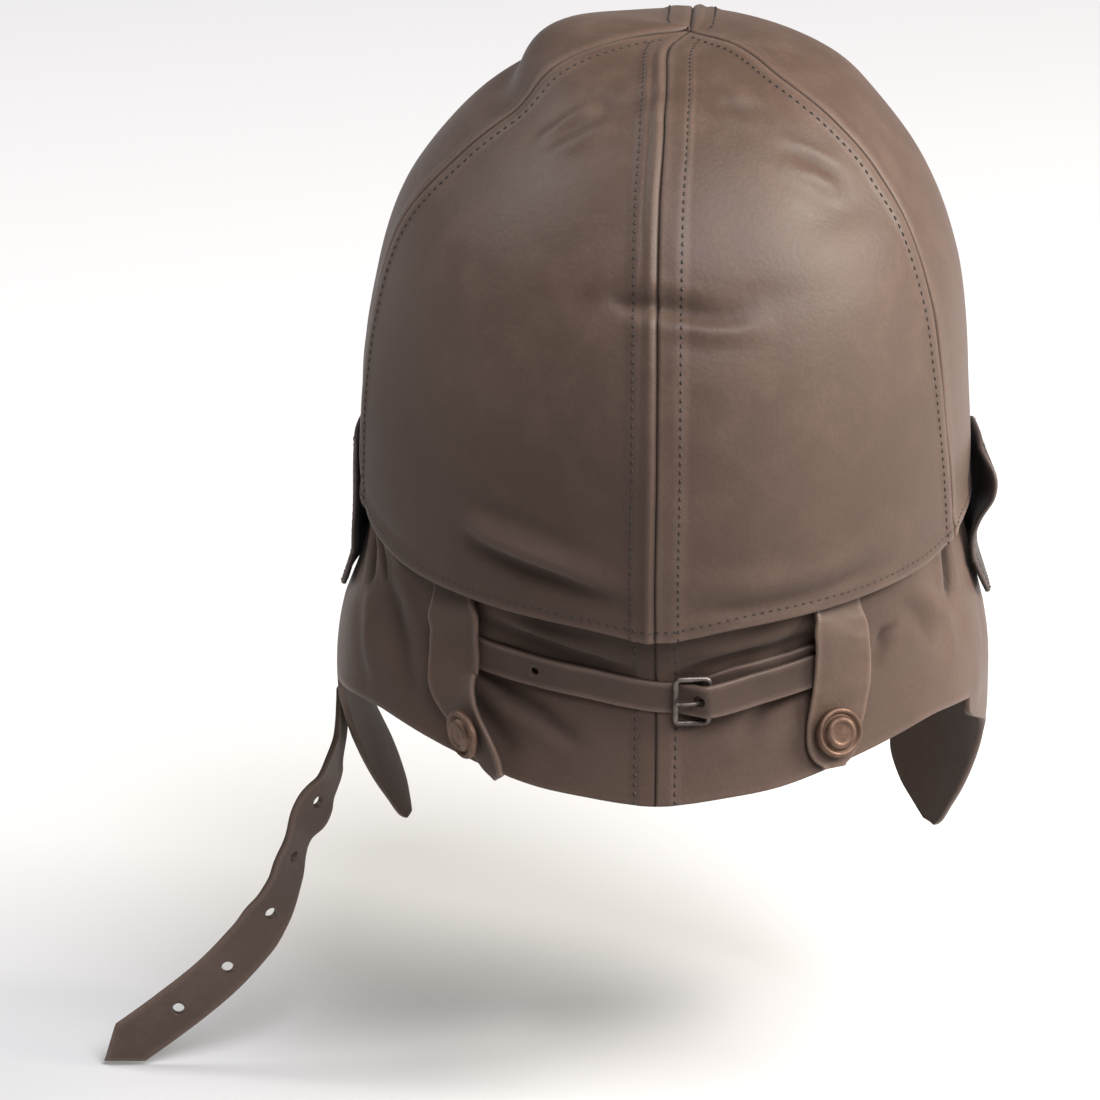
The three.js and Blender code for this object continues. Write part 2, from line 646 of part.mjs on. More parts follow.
// Flat frame with a rectangular window, its bars as thick as they are wide
function frame(width, height, wire) {
  const shape = new THREE.Shape();
  const x = width / 2;
  const y = height / 2;
  const r = wire;
  shape.moveTo(-x + r, -y);
  shape.lineTo(x - r, -y);
  shape.absarc(x - r, -y + r, r, -Math.PI / 2, 0, false);
  shape.lineTo(x, y - r);
  shape.absarc(x - r, y - r, r, 0, Math.PI / 2, false);
  shape.lineTo(-x + r, y);
  shape.absarc(-x + r, y - r, r, Math.PI / 2, Math.PI, false);
  shape.lineTo(-x, -y + r);
  shape.absarc(-x + r, -y + r, r, Math.PI, Math.PI * 1.5, false);
  const window_ = new THREE.Path();
  window_.moveTo(-x + wire, -y + wire);
  window_.lineTo(-x + wire, y - wire);
  window_.lineTo(x - wire, y - wire);
  window_.lineTo(x - wire, -y + wire);
  window_.closePath();
  shape.holes.push(window_);
  const bevel = wire * 0.2;
  const options = {
    depth: wire - 2 * bevel,
    bevelEnabled: true,
    bevelThickness: bevel,
    bevelSize: bevel,
    bevelOffset: -bevel,
    bevelSegments: 1,
    curveSegments: 3,
  };
  const geometry = new THREE.ExtrudeGeometry(shape, options);
  geometry.translate(0, 0, bevel);
  return geometry;
}
const buckleFace = (u, v) => {
  const turn = BUCKLE_TURN + (0.5 - u) * 8;
  return neck(turn, neckHeight(turn, BUCKLE_DOWN) + (0.5 - v) * STRAP_WIDTH, 0);
};
const buckleFrame = frameOf(buckleFace, 0.5, 0.5).multiply(
  new THREE.Matrix4().makeRotationZ(BUCKLE_TILT * DEGREE),
);
const barLift = STRAP_THICKNESS * 1.25 + CLEAR * 2.6;
const buckle = frame(BUCKLE_WIDTH, BUCKLE_HEIGHT, BUCKLE_WIRE);
buckle.translate(0, 0, barLift);
buckle.applyMatrix4(buckleFrame);
add("nape_buckle", buckle, steel);

// Prong from the bar that the tail passes over to the bar that it passes under
const prongPath = new THREE.CatmullRomCurve3(
  PRONG.map((p) => new THREE.Vector3(p.across * BUCKLE_WIDTH, 0, barLift + p.lift * BUCKLE_WIRE)),
);
const round = new THREE.Shape();
round.absarc(0, 0, PRONG_DIAMETER / 2, 0, Math.PI * 2, false);
const prong = new THREE.ExtrudeGeometry(round, {
  steps: 10,
  extrudePath: prongPath,
  curveSegments: 4,
});
prong.applyMatrix4(buckleFrame);
add("nape_prong", prong, steel);

// Ear covers: upright flaps that stand off the side at their rear edge
function side(turn, z, off) {
  const low = neck(turn, z, off);
  const high = crown(turn, riseAt(z));
  high.z = z;
  const angle = turn * DEGREE;
  const away = new THREE.Vector3(Math.sin(angle) / HALF_WIDTH, Math.cos(angle) / BACK_LENGTH, 0);
  high.addScaledVector(away.normalize(), off);
  if (z > lip(turn)) return high;
  return Math.hypot(high.x, high.y) > Math.hypot(low.x, low.y) ? high : low;
}
function cover(sign) {
  return (u, v) => {
    const rear = read(COVER, "along", sign > 0 ? "left" : "right", v);
    const front = read(COVER, "along", "front", v);
    const round = Math.sqrt(1 - Math.pow(Math.abs(2 * v - 1), 5) * 0.55);
    const across = 0.5 + (u - 0.5) * round;
    const span = COVER_LENGTH / (BACK_LENGTH * DEGREE);
    const turn = sign * (COVER_TURN + span * across);
    const z = COVER_TOP * COVER_HEIGHT - v * COVER_HEIGHT;
    const ease = (1 - across) * (1 - across);
    return side(turn, z, WALL * (1 + front + (rear - front) * ease));
  };
}
add("ear_cover_left", sheet(cover(1), WALL * 0.8, 8, 12), strapping);
add("ear_cover_right", sheet(cover(-1), WALL * 0.8, 8, 12), strapping);

// Chin strap, hanging free and twisting from the left chin tongue
const chinRoot = earFlap(1)(CHIN_ROOT_ACROSS, CHIN_ROOT_DOWN);
chinRoot.x += CHIN_THICKNESS / 2 + CLEAR;
function chinPoint(v) {
  const way = (column) => read(CHIN_PATH, "along", column, v) - CHIN_PATH[0][column];
  return new THREE.Vector3(way("side"), way("back"), -way("down"))
    .multiplyScalar(CHIN_LENGTH)
    .add(chinRoot);
}
function chinFrame(v) {
  const step = 0.012;
  const ahead = chinPoint(Math.min(1, v + step)).sub(chinPoint(Math.max(0, v - step))).normalize();
  const level = new THREE.Vector3(0, 1, 0).addScaledVector(ahead, -ahead.y).normalize();
  const other = ahead.clone().cross(level);
  const roll = read(CHIN_PATH, "along", "roll", v) * DEGREE;
  const wide = level.multiplyScalar(Math.cos(roll)).addScaledVector(other, Math.sin(roll));
  const out = ahead.clone().cross(wide);
  return new THREE.Matrix4().makeBasis(wide, ahead, out.negate()).setPosition(chinPoint(v));
}
const chinTaper = (v) => Math.max(0.1, 1 - Math.max(0, v - CHIN_TIP) / (1 - CHIN_TIP));
function chinFace(depth) {
  return (u, v) =>
    new THREE.Vector3((u - 0.5) * CHIN_WIDTH * chinTaper(v), 0, depth).applyMatrix4(chinFrame(v));
}
function slab(front, back, columns, rows) {
  return sheet(front, 0, columns, rows, back);
}
const chinSheet = slab(chinFace(CHIN_THICKNESS / 2), chinFace(-CHIN_THICKNESS / 2), 2, 50);
const chinHoles = CHIN_HOLES.map((v) => {
  const tool = new THREE.CylinderGeometry(HOLE_DIAMETER / 2, HOLE_DIAMETER / 2, PUNCH_LENGTH, 12);
  tool.rotateX(Math.PI / 2);
  tool.applyMatrix4(chinFrame(v));
  return tool;
});
add("chin_strap", cut(chinSheet, chinHoles), strapping);

// Plain buckle for that strap, held by a leather loop on the right chin tongue
const tongue = (turn, z, off) => neck(turn, z, off);
const loopPlace = (v) => ({
  turn: -LOOP_TURN,
  z: lip(90) - NECK_DEPTH * (LOOP_TOP + v * LOOP_DROP),
  off: WALL * read(LOOP, "along", "off", v) + CHIN_THICKNESS,
});
const loopFace = strip(tongue, loopPlace, CHIN_WIDTH * 0.8, () => 1);
add("chin_buckle_loop", sheet(loopFace, CHIN_THICKNESS, 3, 12), strapping);
const chinBuckleFace = (u, v) => {
  const turn = -LOOP_TURN + (u - 0.5) * 8;
  return neck(turn, lip(90) - NECK_DEPTH * (LOOP_TOP + LOOP_DROP) + (0.5 - v) * CHIN_WIDTH, 0);
};
const chinBuckle = frame(CHIN_WIDTH * 1.5, CHIN_WIDTH * 1.2, CHIN_WIRE);
chinBuckle.translate(0, CHIN_WIDTH * 0.42, CLEAR * 2);
chinBuckle.applyMatrix4(frameOf(chinBuckleFace, 0.5, 0.5));
add("chin_buckle", chinBuckle, steel);

export default helmet;
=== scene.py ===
import math

import bpy
import numpy as np
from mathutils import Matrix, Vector


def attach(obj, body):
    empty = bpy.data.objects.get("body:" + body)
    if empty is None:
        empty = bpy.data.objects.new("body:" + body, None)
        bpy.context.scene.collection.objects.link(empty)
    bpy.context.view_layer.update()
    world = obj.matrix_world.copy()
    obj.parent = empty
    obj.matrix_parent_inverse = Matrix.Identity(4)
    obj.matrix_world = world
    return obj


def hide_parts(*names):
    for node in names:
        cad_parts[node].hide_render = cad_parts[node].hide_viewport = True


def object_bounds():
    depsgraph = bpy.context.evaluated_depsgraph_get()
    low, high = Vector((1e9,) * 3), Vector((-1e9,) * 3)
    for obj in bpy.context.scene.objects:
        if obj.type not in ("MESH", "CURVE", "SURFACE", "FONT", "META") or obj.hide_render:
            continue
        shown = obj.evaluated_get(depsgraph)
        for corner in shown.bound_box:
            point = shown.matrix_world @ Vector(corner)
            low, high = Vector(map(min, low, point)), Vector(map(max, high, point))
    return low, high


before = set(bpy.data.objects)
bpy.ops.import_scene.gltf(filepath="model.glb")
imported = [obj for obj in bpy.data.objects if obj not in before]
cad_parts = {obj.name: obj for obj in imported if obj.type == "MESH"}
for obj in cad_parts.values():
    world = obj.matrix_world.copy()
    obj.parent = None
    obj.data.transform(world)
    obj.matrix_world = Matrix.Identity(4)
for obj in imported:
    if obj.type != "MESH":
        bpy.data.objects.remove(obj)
cad_low, cad_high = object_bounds()

# Sizes in millimetres, as in the solids; only the seam gap differs, so that no light shows through
CROWN_HEIGHT = 148
HALF_WIDTH = 88
BACK_LENGTH = 103
FRONT_LENGTH = 100
LEAN = 6.5
WALL = 2
NECK_DEPTH = 53
SEAM_GAP = -0.04
HEAD_MIDDLE = CROWN_HEIGHT * 0.4
APEX_RISE = 1 - 0.0002
STRAP_WIDTH = 9.2
STRAP_THICKNESS = 1.4
TAB_WIDTH = 17
TAB_THICKNESS = 1.5
CHIN_WIDTH = 15
CHIN_THICKNESS = 1.9
CHIN_LENGTH = 142
CHIN_ROOT_ACROSS = 0.28
CHIN_ROOT_DOWN = 0.6
HOLE_DIAMETER = 3.6
CAP_DIAMETER = 14.5
CAP_HEIGHT = 3.4
CAP_ALONG = 0.82
CAP_LIFT = 1.15
BUCKLE_WIDTH = 11
BUCKLE_HEIGHT = 15.3
BUCKLE_WIRE = 1.7
COVER_HEIGHT = 45
COVER_LENGTH = 40
CLEAR = 0.35
TUCK = 0.15
STITCH_PITCH = 2.5
STITCH_SHARE = 0.72
STITCH_SINK = 0.05
FINE_THREAD = {"wide": 0.24, "high": 0.2}
CENTRE_STITCH = 6.7
EAR_STITCH = 4.8
FOOT_STITCH = 3.6
NECK_STITCH = 5.7
FLAP_STITCH = 3.0
COVER_STITCH = 2.6
MM = 0.001
LIFT = WALL - CROWN_HEIGHT
DEGREE = math.pi / 180


class Table:
    """Rows of numbers under named columns, read as a smooth curve of the first column."""

    def __init__(self, columns, *rows, level_ends=False):
        self.columns = columns.split()
        self.rows = np.array(rows, float)
        self.level_ends = level_ends

    def __call__(self, column, x):
        keys = self.rows[:, 0]
        values = self.rows[:, self.columns.index(column)]
        last = len(keys) - 1
        before = np.maximum(np.arange(last + 1) - 1, 0)
        after = np.minimum(np.arange(last + 1) + 1, last)
        slopes = (values[after] - values[before]) / (keys[after] - keys[before])
        if self.level_ends:
            slopes[0] = slopes[-1] = 0
        x = np.clip(np.asarray(x, float), keys[0], keys[-1])
        i = np.clip(np.searchsorted(keys, x, side="right") - 1, 0, last - 1)
        span = keys[i + 1] - keys[i]
        t = (x - keys[i]) / span
        return (
            (2 * t**3 - 3 * t**2 + 1) * values[i]
            + (t**3 - 2 * t**2 + t) * span * slopes[i]
            + (3 * t**2 - 2 * t**3) * values[i + 1]
            + (t**3 - t**2) * span * slopes[i + 1]
        )


CROWN = Table(
    "rise up left right back front lean",
    (-0.12, -0.14, 1.0, 0.995, 0.95, 0.99, 0),
    (0, 0, 1.0, 0.998, 0.968, 0.995, 0),
    (0.12, 0.14, 1.005, 1.0, 0.99, 1.0, 0),
    (0.24, 0.28, 1.005, 0.99, 1.0, 0.998, 0.05),
    (0.36, 0.42, 0.992, 0.968, 0.985, 0.985, 0.15),
    (0.48, 0.56, 0.956, 0.922, 0.935, 0.945, 0.3),
    (0.6, 0.69, 0.886, 0.838, 0.85, 0.875, 0.45),
    (0.71, 0.8, 0.765, 0.716, 0.735, 0.775, 0.6),
    (0.81, 0.89, 0.62, 0.552, 0.59, 0.635, 0.75),
    (0.895, 0.955, 0.495, 0.365, 0.42, 0.46, 0.9),
    (0.96, 0.99, 0.25, 0.21, 0.2, 0.21, 1),
    (1, 1, 0, 0, 0, 0, 1),
)
EDGES = Table(
    "turn lip hem slack",
    (0, 0, 0.945, 0.25),
    (13, 0.02, 0.91, 0.3),
    (22, 0.028, 0.88, 1.2),
    (38, 0.036, 0.785, 1.75),
    (54, 0.042, 0.725, 1.8),
    (64, 0.055, 0.75, 1.2),
    (74, 0.07, 0.81, 0.4),
    (90, 0.08, 0.9, 0.3),
    (112, 0.1, 0.9, 0.3),
    (126, 0.19, 0.9, 0.3),
    (140, 0.34, 0.9, 0.3),
    (158, 0.42, 0.9, 0.3),
    (180, 0.44, 0.9, 0.3),
    level_ends=True,
)
NECK = Table(
    "drop left right back front",
    (-0.4, 0.96, 0.96, 0.92, 0.95),
    (0, 0.97, 0.97, 0.92, 0.955),
    (0.16, 0.985, 0.985, 0.892, 0.96),
    (0.32, 1.005, 1.0, 0.866, 0.965),
    (0.46, 1.035, 1.025, 0.856, 0.97),
    (0.62, 1.075, 1.05, 0.876, 0.965),
    (0.8, 1.095, 1.068, 0.91, 0.95),
    (1, 1.1, 1.07, 0.945, 0.93),
    (1.4, 1.08, 1.06, 0.95, 0.9),
    (2.2, 1.03, 1.02, 0.95, 0.88),
)
SEAMS = Table(
    "rise left right centre",
    (-0.12, 82, 70, 0),
    (0.05, 81, 70, 0),
    (0.3, 77, 66, 0),
    (0.55, 75, 64, 1.4),
    (0.72, 67, 62, 3),
    (0.85, 60, 56, 4.8),
    (0.93, 60, 53, 9),
    (1, 60, 50, 25),
)
EAR_FLAP = Table(
    "down rear front splay",
    (0.0, 81, 122, 0),
    (0.5, 81, 123, 0),
    (0.9, 81, 125, 0.04),
    (1.1, 81, 127, 0.12),
    (1.2, 84.5, 128, 0.2),
    (1.34, 90, 129, 0.34),
    (1.64, 98, 132, 0.47),
    (1.98, 107, 134, 0.4),
    (2.17, 112.5, 130.5, 0.26),
    (2.28, 115.5, 125, 0.12),
    (2.33, 117.5, 121.5, 0.05),
)
# Dents and swellings: turn and rise of the middle, reach each way, depth inwards
DENTS = (
    (-2, 0.56, 14, 0.02, 1.8),
    (100, 0.925, 30, 0.045, -5),
    (95, 0.845, 22, 0.035, 4),
    (-90, 0.84, 26, 0.05, -3),
    (22, 0.14, 13, 0.03, -1.4),
    (-46, 0.68, 10, 0.03, 1.5),
)
CHIN_PATH = Table(
    "along side back down roll",
    (0.0, 0.6835, -0.12, 0.417, 2),
    (0.1, 0.687, -0.095, 0.517, 7),
    (0.165, 0.701, -0.063, 0.576, 18),
    (0.203, 0.714, -0.056, 0.612, 28),
    (0.249, 0.736, -0.042, 0.649, 45),
    (0.293, 0.753, -0.035, 0.69, 48),
    (0.342, 0.775, -0.028, 0.732, 30),
    (0.388, 0.792, -0.021, 0.775, 32),
    (0.433, 0.802, -0.014, 0.818, 38),
    (0.485, 0.821, 0.0, 0.864, 52),
    (0.53, 0.845, 0.007, 0.903, 70),
    (0.58, 0.872, 0.014, 0.944, 78),
    (0.699, 0.952, 0.028, 1.03, 84),
    (0.841, 1.061, 0.035, 1.121, 86),
    (1, 1.188, 0.042, 1.216, 86),
)
CHIN_HOLES = (0.25, 0.38, 0.51, 0.66, 0.8)
TAB_LEFT = Table(
    "along turn down off roll",
    (0, 44, -0.1, 0.08, 0),
    (0.1, 44, 0.0, 0.14, 0),
    (0.22, 42, 0.13, 1.2, 0),
    (0.34, 39.6, 0.25, 1.75, 0),
    (0.54, 37.4, 0.48, 1.75, 2),
    (0.63, 36.4, 0.58, 2.0, 8),
    (0.74, 33.4, 0.69, 2.9, 24),
    (0.86, 29, 0.81, 3.9, 36),
    (1, 25, 0.96, 3.9, 38),
)
TAB_RIGHT = Table(
    "along turn down off roll",
    (0, 37, -0.1, 0.15, 0),
    (0.1, 37, 0.0, 0.2, 0),
    (0.22, 36.2, 0.11, 1.7, 0),
    (0.33, 34.6, 0.22, 3.0, 0),
    (0.54, 32.8, 0.48, 3.0, 0),
    (0.7, 32, 0.65, 1.6, 0),
    (0.82, 31.5, 0.78, 0.55, 0),
    (1, 31.5, 0.985, 0.4, 0),
)
NAPE_LEFT = Table(
    "along turn down off",
    (0, 43, 0.375, 0.45),
    (0.5, 5.5, 0.385, 0.45),
    (0.6, -2, 0.402, 0.4),
    (0.628, -4.1, 0.411, 0.5),
    (0.656, -6.2, 0.421, 1.9),
    (0.684, -8.3, 0.429, 3.7),
    (0.71, -10.3, 0.433, 3.55),
    (0.753, -13.5, 0.432, 2.7),
    (0.82, -18.5, 0.42, 1.9),
    (1, -32, 0.388, 1.76),
)
NAPE_RIGHT = Table(
    "along turn down off",
    (0, -8.8, 0.41, 0.4),
    (0.2, -13.8, 0.38, 0.45),
    (0.5, -22.6, 0.358, 0.45),
    (1, -38, 0.33, 0.45),
)
NAPE_HOLES = (0.28,)
NAPE_HOLE = 2.4
PRONG_HOLE = 3.8
PRONG_AT = 0.67
BUCKLE_TURN = -6.3
BUCKLE_DOWN = 0.424
BUCKLE_TILT = -3
LOOP_TURN = 118
LOOP_TOP = 1.42
LOOP_DROP = 0.26
CHIN_WIRE = 2.2
LOOP = Table("along off", (0, 0.2), (0.5, 0.25), (0.75, 1.4), (1, 1.7))
CHIN_TIP = 0.93
COVER_TURN = 82
COVER_TOP = 0.6
COVER = Table(
    "along left right front",
    (0, 0.1, 1.2, 0.3),
    (0.14, 0.2, 3.3, 0.5),
    (0.3, 0.4, 3.2, 0.5),
    (0.46, 0.7, 1.2, 0.4),
    (0.6, 1.0, 0.3, 0.3),
    (0.8, 1.1, 0.8, 0.2),
    (1, 0.9, 1.4, 0.2),
)


# Smooth helpers
def step(a, b, x):
    t = np.clip((np.asarray(x, float) - a) / (b - a), 0, 1)
    return t * t * (3 - 2 * t)


def hump(x, middle, reach):
    return np.exp(-(((x - middle) / reach) ** 2) / 2)


def ripple(x, y, seed):
    """Smooth random heights from -1 to 1 on a grid of unit cells."""
    xi, yi = np.floor(x), np.floor(y)
    tx, ty = x - xi, y - yi
    tx, ty = tx * tx * (3 - 2 * tx), ty * ty * (3 - 2 * ty)

    def corner(i, j):
        h = np.sin((xi + i) * 127.1 + (yi + j) * 311.7 + seed * 74.7) * 43758.5453
        return (h - np.floor(h)) * 2 - 1

    low = corner(0, 0) * (1 - tx) + corner(1, 0) * tx
    high = corner(0, 1) * (1 - tx) + corner(1, 1) * tx
    return low * (1 - ty) + high * ty


def unit(a):
    return a / np.maximum(np.linalg.norm(a, axis=-1, keepdims=True), 1e-12)


# Surfaces of the helmet, by turn in degrees from the centre back
def outline(left, right, back, front, turn, z, lean):
    angle = turn * DEGREE
    side = HALF_WIDTH * np.where(turn > 0, left, right)
    length = np.where(np.cos(angle) > 0, BACK_LENGTH * back, FRONT_LENGTH * front)
    x = side * np.sin(angle) - LEAN * lean
    return np.stack([x, length * np.cos(angle), z + 0 * x], -1)


def crown(turn, rise):
    turn, rise = np.broadcast_arrays(np.asarray(turn, float), np.asarray(rise, float))
    shares = [CROWN(c, rise) for c in ("left", "right", "back", "front")]
    point = outline(*shares, turn, CROWN("up", rise) * CROWN_HEIGHT, CROWN("lean", rise))
    inward = point.copy()
    inward[..., 2] = np.maximum(0, point[..., 2] - HEAD_MIDDLE)
    deep = 0
    for t, r, wide, tall, depth in DENTS:
        deep = deep + depth * np.exp(-(((turn - t) / wide) ** 2 + ((rise - r) / tall) ** 2) / 2)
    return point - unit(inward) * np.asarray(deep)[..., None]


RISES = np.linspace(-0.12, 1, 1500)
HEIGHTS = CROWN("up", RISES) * CROWN_HEIGHT


def rise_at(z):
    return np.interp(z, HEIGHTS, RISES)


def lip(turn):
    return CROWN_HEIGHT * EDGES("lip", np.abs(turn))


def hem(turn):
    return -NECK_DEPTH * EDGES("hem", np.abs(turn))


def away_at(turn):
    angle = np.asarray(turn, float) * DEGREE
    flat = np.stack([np.sin(angle) / HALF_WIDTH, np.cos(angle) / BACK_LENGTH, 0 * angle], -1)
    return unit(flat)


def neck(turn, z, off=0.0):
    turn, z, off = np.broadcast_arrays(*(np.asarray(a, float) for a in (turn, z, off)))
    drop = (lip(turn) - z) / (lip(turn) - hem(turn))
    below = outline(*[NECK(c, drop) for c in ("left", "right", "back", "front")], turn, z, 0)
    above = crown(turn, rise_at(z))
    above[..., 2] = z
    away = away_at(turn)
    slack = TAB_THICKNESS * EDGES("slack", np.abs(turn)) + CLEAR
    above = above - away * (WALL + slack)[..., None]
    blend = step(0.02, 0.3, drop)[..., None]
    return above * (1 - blend) + below * blend + away * off[..., None]


def neck_height(turn, down):
    return lip(turn) + (hem(turn) - lip(turn)) * down


def neck_at(turn, down):
    return neck(turn, neck_height(turn, down))


# Meshes
def mesh_object(name, points, faces, smooth=True):
    mesh = bpy.data.meshes.new(name)
    at = np.asarray(points, float).copy()
    at[:, 2] += LIFT
    mesh.from_pydata((at * MM).tolist(), [], faces)
    mesh.validate()
    made = bpy.data.objects.new(name, mesh)
    bpy.context.scene.collection.objects.link(made)
    if smooth:
        mesh.polygons.foreach_set("use_smooth", [True] * len(mesh.polygons))
    return made


def tube_faces(count, ring):
    """Faces between rings of points one after another, closed at both ends."""
    faces = []
    for j in range(count - 1):
        for k in range(ring):
            p, q = j * ring + k, j * ring + (k + 1) % ring
            faces.append((p, q, q + ring, p + ring))
    faces.append(tuple(reversed(range(ring))))
    faces.append(tuple((count - 1) * ring + k for k in range(ring)))
    return faces


def dress(made, material, nodes=()):
    made.data.materials.clear()
    made.data.materials.append(material)
    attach(made, "root")
    if nodes:
        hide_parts(*nodes)


def spaced(count, length, near=(0.25, 0.6, 1.1, 1.8)):
    """Shares from 0 to 1, closer together at both ends; near is in millimetres."""
    close = np.array([0.0, *near]) / length
    middle = np.linspace(close[-1], 1 - close[-1], max(2, count))
    return np.concatenate([close[:-1], middle, 1 - close[:-1][::-1]])


def lengths(points, axis):
    """Way along a grid of points from its start, along one axis."""
    parts = np.linalg.norm(np.diff(points, axis=axis), axis=-1)
    total = np.cumsum(parts, axis=axis)
    shape = list(total.shape)
    shape[axis] = 1
    return np.concatenate([np.zeros(shape), total], axis=axis)


def normals(points):
    across = np.gradient(points, axis=1)
    down = np.gradient(points, axis=0)
    n = unit(np.cross(across, down))
    away = points.copy()
    away[..., 2] = np.maximum(0, away[..., 2] - HEAD_MIDDLE)
    return np.where((n * away).sum(-1, keepdims=True) < 0, -n, n)


class Sheet:
    """A leather sheet between an outer face and its inner side, on a grid of rows and columns."""

    def __init__(self, face, us, vs, thickness, relief, edge, facing=None, joined=""):
        u, v = np.meshgrid(us, vs)
        base = face(u, v)
        n = normals(base) if facing is None else facing(u, v)
        along, down = lengths(base, 1), lengths(base, 0)
        self.left, self.right = along, along[:, -1:] - along
        self.top, self.bottom = down, down[-1:, :] - down
        sides = {"left": self.left, "right": self.right, "top": self.top, "bottom": self.bottom}
        nearest = np.full(u.shape, 100.0)
        for side, way in sides.items():
            if side not in joined.split():
                nearest = np.minimum(nearest, way)
        self.nearest = nearest
        rounding = edge * (1 - np.sqrt(np.clip(1 - (1 - np.clip(nearest / edge, 0, 1)) ** 2, 0, 1)))
        rounding = np.minimum(rounding, thickness * 0.42)
        height = relief(self, u, v, base) if relief else np.zeros(u.shape)
        self.outer = base + n * (height - rounding)[..., None]
        self.inner = base - n * (thickness - rounding - np.clip(height, -4, 0))[..., None]
        self.normal = n

    def make(self, name, wear_and_shade):
        rows, columns = self.outer.shape[:2]
        layer = rows * columns
        index = np.arange(layer).reshape(rows, columns)
        a, b = index[:-1, :-1].ravel(), index[:-1, 1:].ravel()
        c, d = index[1:, 1:].ravel(), index[1:, :-1].ravel()
        faces = [np.stack([a, b, c, d], -1), np.stack([a, d, c, b], -1) + layer]

        def rim(line):
            p, q = line[:-1], line[1:]
            return np.stack([q, p, p + layer, q + layer], -1)

        faces += [rim(index[0]), rim(index[-1][::-1]), rim(index[::-1, 0]), rim(index[:, -1])]
        faces = np.concatenate(faces)
        points = np.concatenate([self.outer.reshape(-1, 3), self.inner.reshape(-1, 3)])
        corners = points[faces]
        volume = (corners[:, 0] * np.cross(corners[:, 1], corners[:, 2])).sum()
        if volume < 0:
            faces = faces[:, ::-1]
        made = mesh_object(name, points, faces.tolist())
        # Tone per point: above 0 is real rubbed wear, below 0 is painted shade and dark seam edges; the
        # inner face gets painted shade throughout
        wear_and_shade_data = np.full(len(points), -0.5)
        wear_and_shade_data[:layer] = wear_and_shade.ravel()
        layer_of_wear_and_shade = made.data.attributes.new("wear_and_shade", "FLOAT", "POINT")
        layer_of_wear_and_shade.data.foreach_set("value", wear_and_shade_data.astype(np.float32))
        return made

    def line(self, side, distance):
        """Points and normals of the outer face at a distance from one side."""
        ways = {"left": self.left, "right": self.right, "top": self.top, "bottom": self.bottom}
        way = ways[side]
        grid, normal = self.outer, self.normal
        if side in ("top", "bottom"):
            way, grid, normal = way.T, grid.transpose(1, 0, 2), normal.transpose(1, 0, 2)
        points, out = [], []
        for w, p, n in zip(way, grid, normal):
            if w.max() < distance * 1.6:
                continue
            order = np.argsort(w)
            points.append([np.interp(distance, w[order], p[order, k]) for k in range(3)])
            out.append([np.interp(distance, w[order], n[order, k]) for k in range(3)])
        return np.array(points), unit(np.array(out))


class Stitches:
    """Rows of thread stitches gathered into one piece."""

    def __init__(self):
        self.points, self.faces = [], []

    def row(self, line, normal, wide=0.34, high=0.26):
        way = np.concatenate([[0], np.cumsum(np.linalg.norm(np.diff(line, axis=0), axis=1))])
        if way[-1] < 2 * STITCH_PITCH:
            return
        count = int(way[-1] / STITCH_PITCH)
        pitch = way[-1] / count
        ring, steps = 6, 5
        for i in range(count):
            ends = np.array([i + (1 - STITCH_SHARE) / 2, i + (1 + STITCH_SHARE) / 2]) * pitch
            at = np.linspace(ends[0], ends[1], steps)
            centre = np.stack([np.interp(at, way, line[:, k]) for k in range(3)], -1)
            out = unit(np.stack([np.interp(at, way, normal[:, k]) for k in range(3)], -1))
            ahead = unit(np.gradient(centre, axis=0))
            side = unit(np.cross(ahead, out))
            size = np.array([0.25, 0.85, 1, 0.85, 0.25])
            dip = np.array([-0.3, 0, 0.06, 0, -0.3])
            start = sum(len(p) for p in self.points)
            turn = np.arange(ring) / ring * 2 * math.pi
            loops = (
                centre[:, None]
                + side[:, None] * (np.cos(turn)[None, :, None] * wide * size[:, None, None])
                + out[:, None] * (np.sin(turn)[None, :, None] * high * size[:, None, None])
                + out[:, None] * (dip + STITCH_SINK)[:, None, None]
            )
            self.points.append(loops.reshape(-1, 3))
            self.faces += [tuple(start + i for i in face) for face in tube_faces(steps, ring)]

    def make(self, name):
        return mesh_object(name, np.concatenate(self.points), self.faces)


# Materials
def new_material(name, colour, rough, metal=0.0):
    material = bpy.data.materials.new(name)
    material.use_nodes = True
    nodes, links = material.node_tree.nodes, material.node_tree.links
    shader = nodes["Principled BSDF"]
    shader.inputs["Base Color"].default_value = (*colour, 1)
    shader.inputs["Roughness"].default_value = rough
    shader.inputs["Metallic"].default_value = metal
    return material, nodes, links, shader


def linear(r, g, b):
    return tuple(((c / 255 + 0.055) / 1.055) ** 2.4 if c > 10 else c / 255 / 12.92 for c in (r, g, b))


def texture(nodes, links, kind, scale, **settings):
    node = nodes.new(kind)
    for key, value in settings.items():
        if hasattr(node, key):
            setattr(node, key, value)
        else:
            node.inputs[key].default_value = value
    node.inputs["Scale"].default_value = scale
    coordinates = nodes.get("places") or nodes.new("ShaderNodeTexCoord")
    coordinates.name = "places"
    links.new(coordinates.outputs["Object"], node.inputs["Vector"])
    return node


def blend(nodes, links, factor, a, b):
    node = nodes.new("ShaderNodeMix")
    node.data_type = "RGBA"
    for socket, value in ((node.inputs[0], factor), (node.inputs[6], a), (node.inputs[7], b)):
        if hasattr(value, "is_output"):
            links.new(value, socket)
        else:
            socket.default_value = (*value, 1)
    return node.outputs[2]


def ramp(nodes, links, source, low, high, out_low=0.0, out_high=1.0):
    node = nodes.new("ShaderNodeMapRange")
    links.new(source, node.inputs["Value"])
    for key, value in zip(("From Min", "From Max", "To Min", "To Max"), (low, high, out_low, out_high)):
        node.inputs[key].default_value = value
    return node.outputs["Result"]


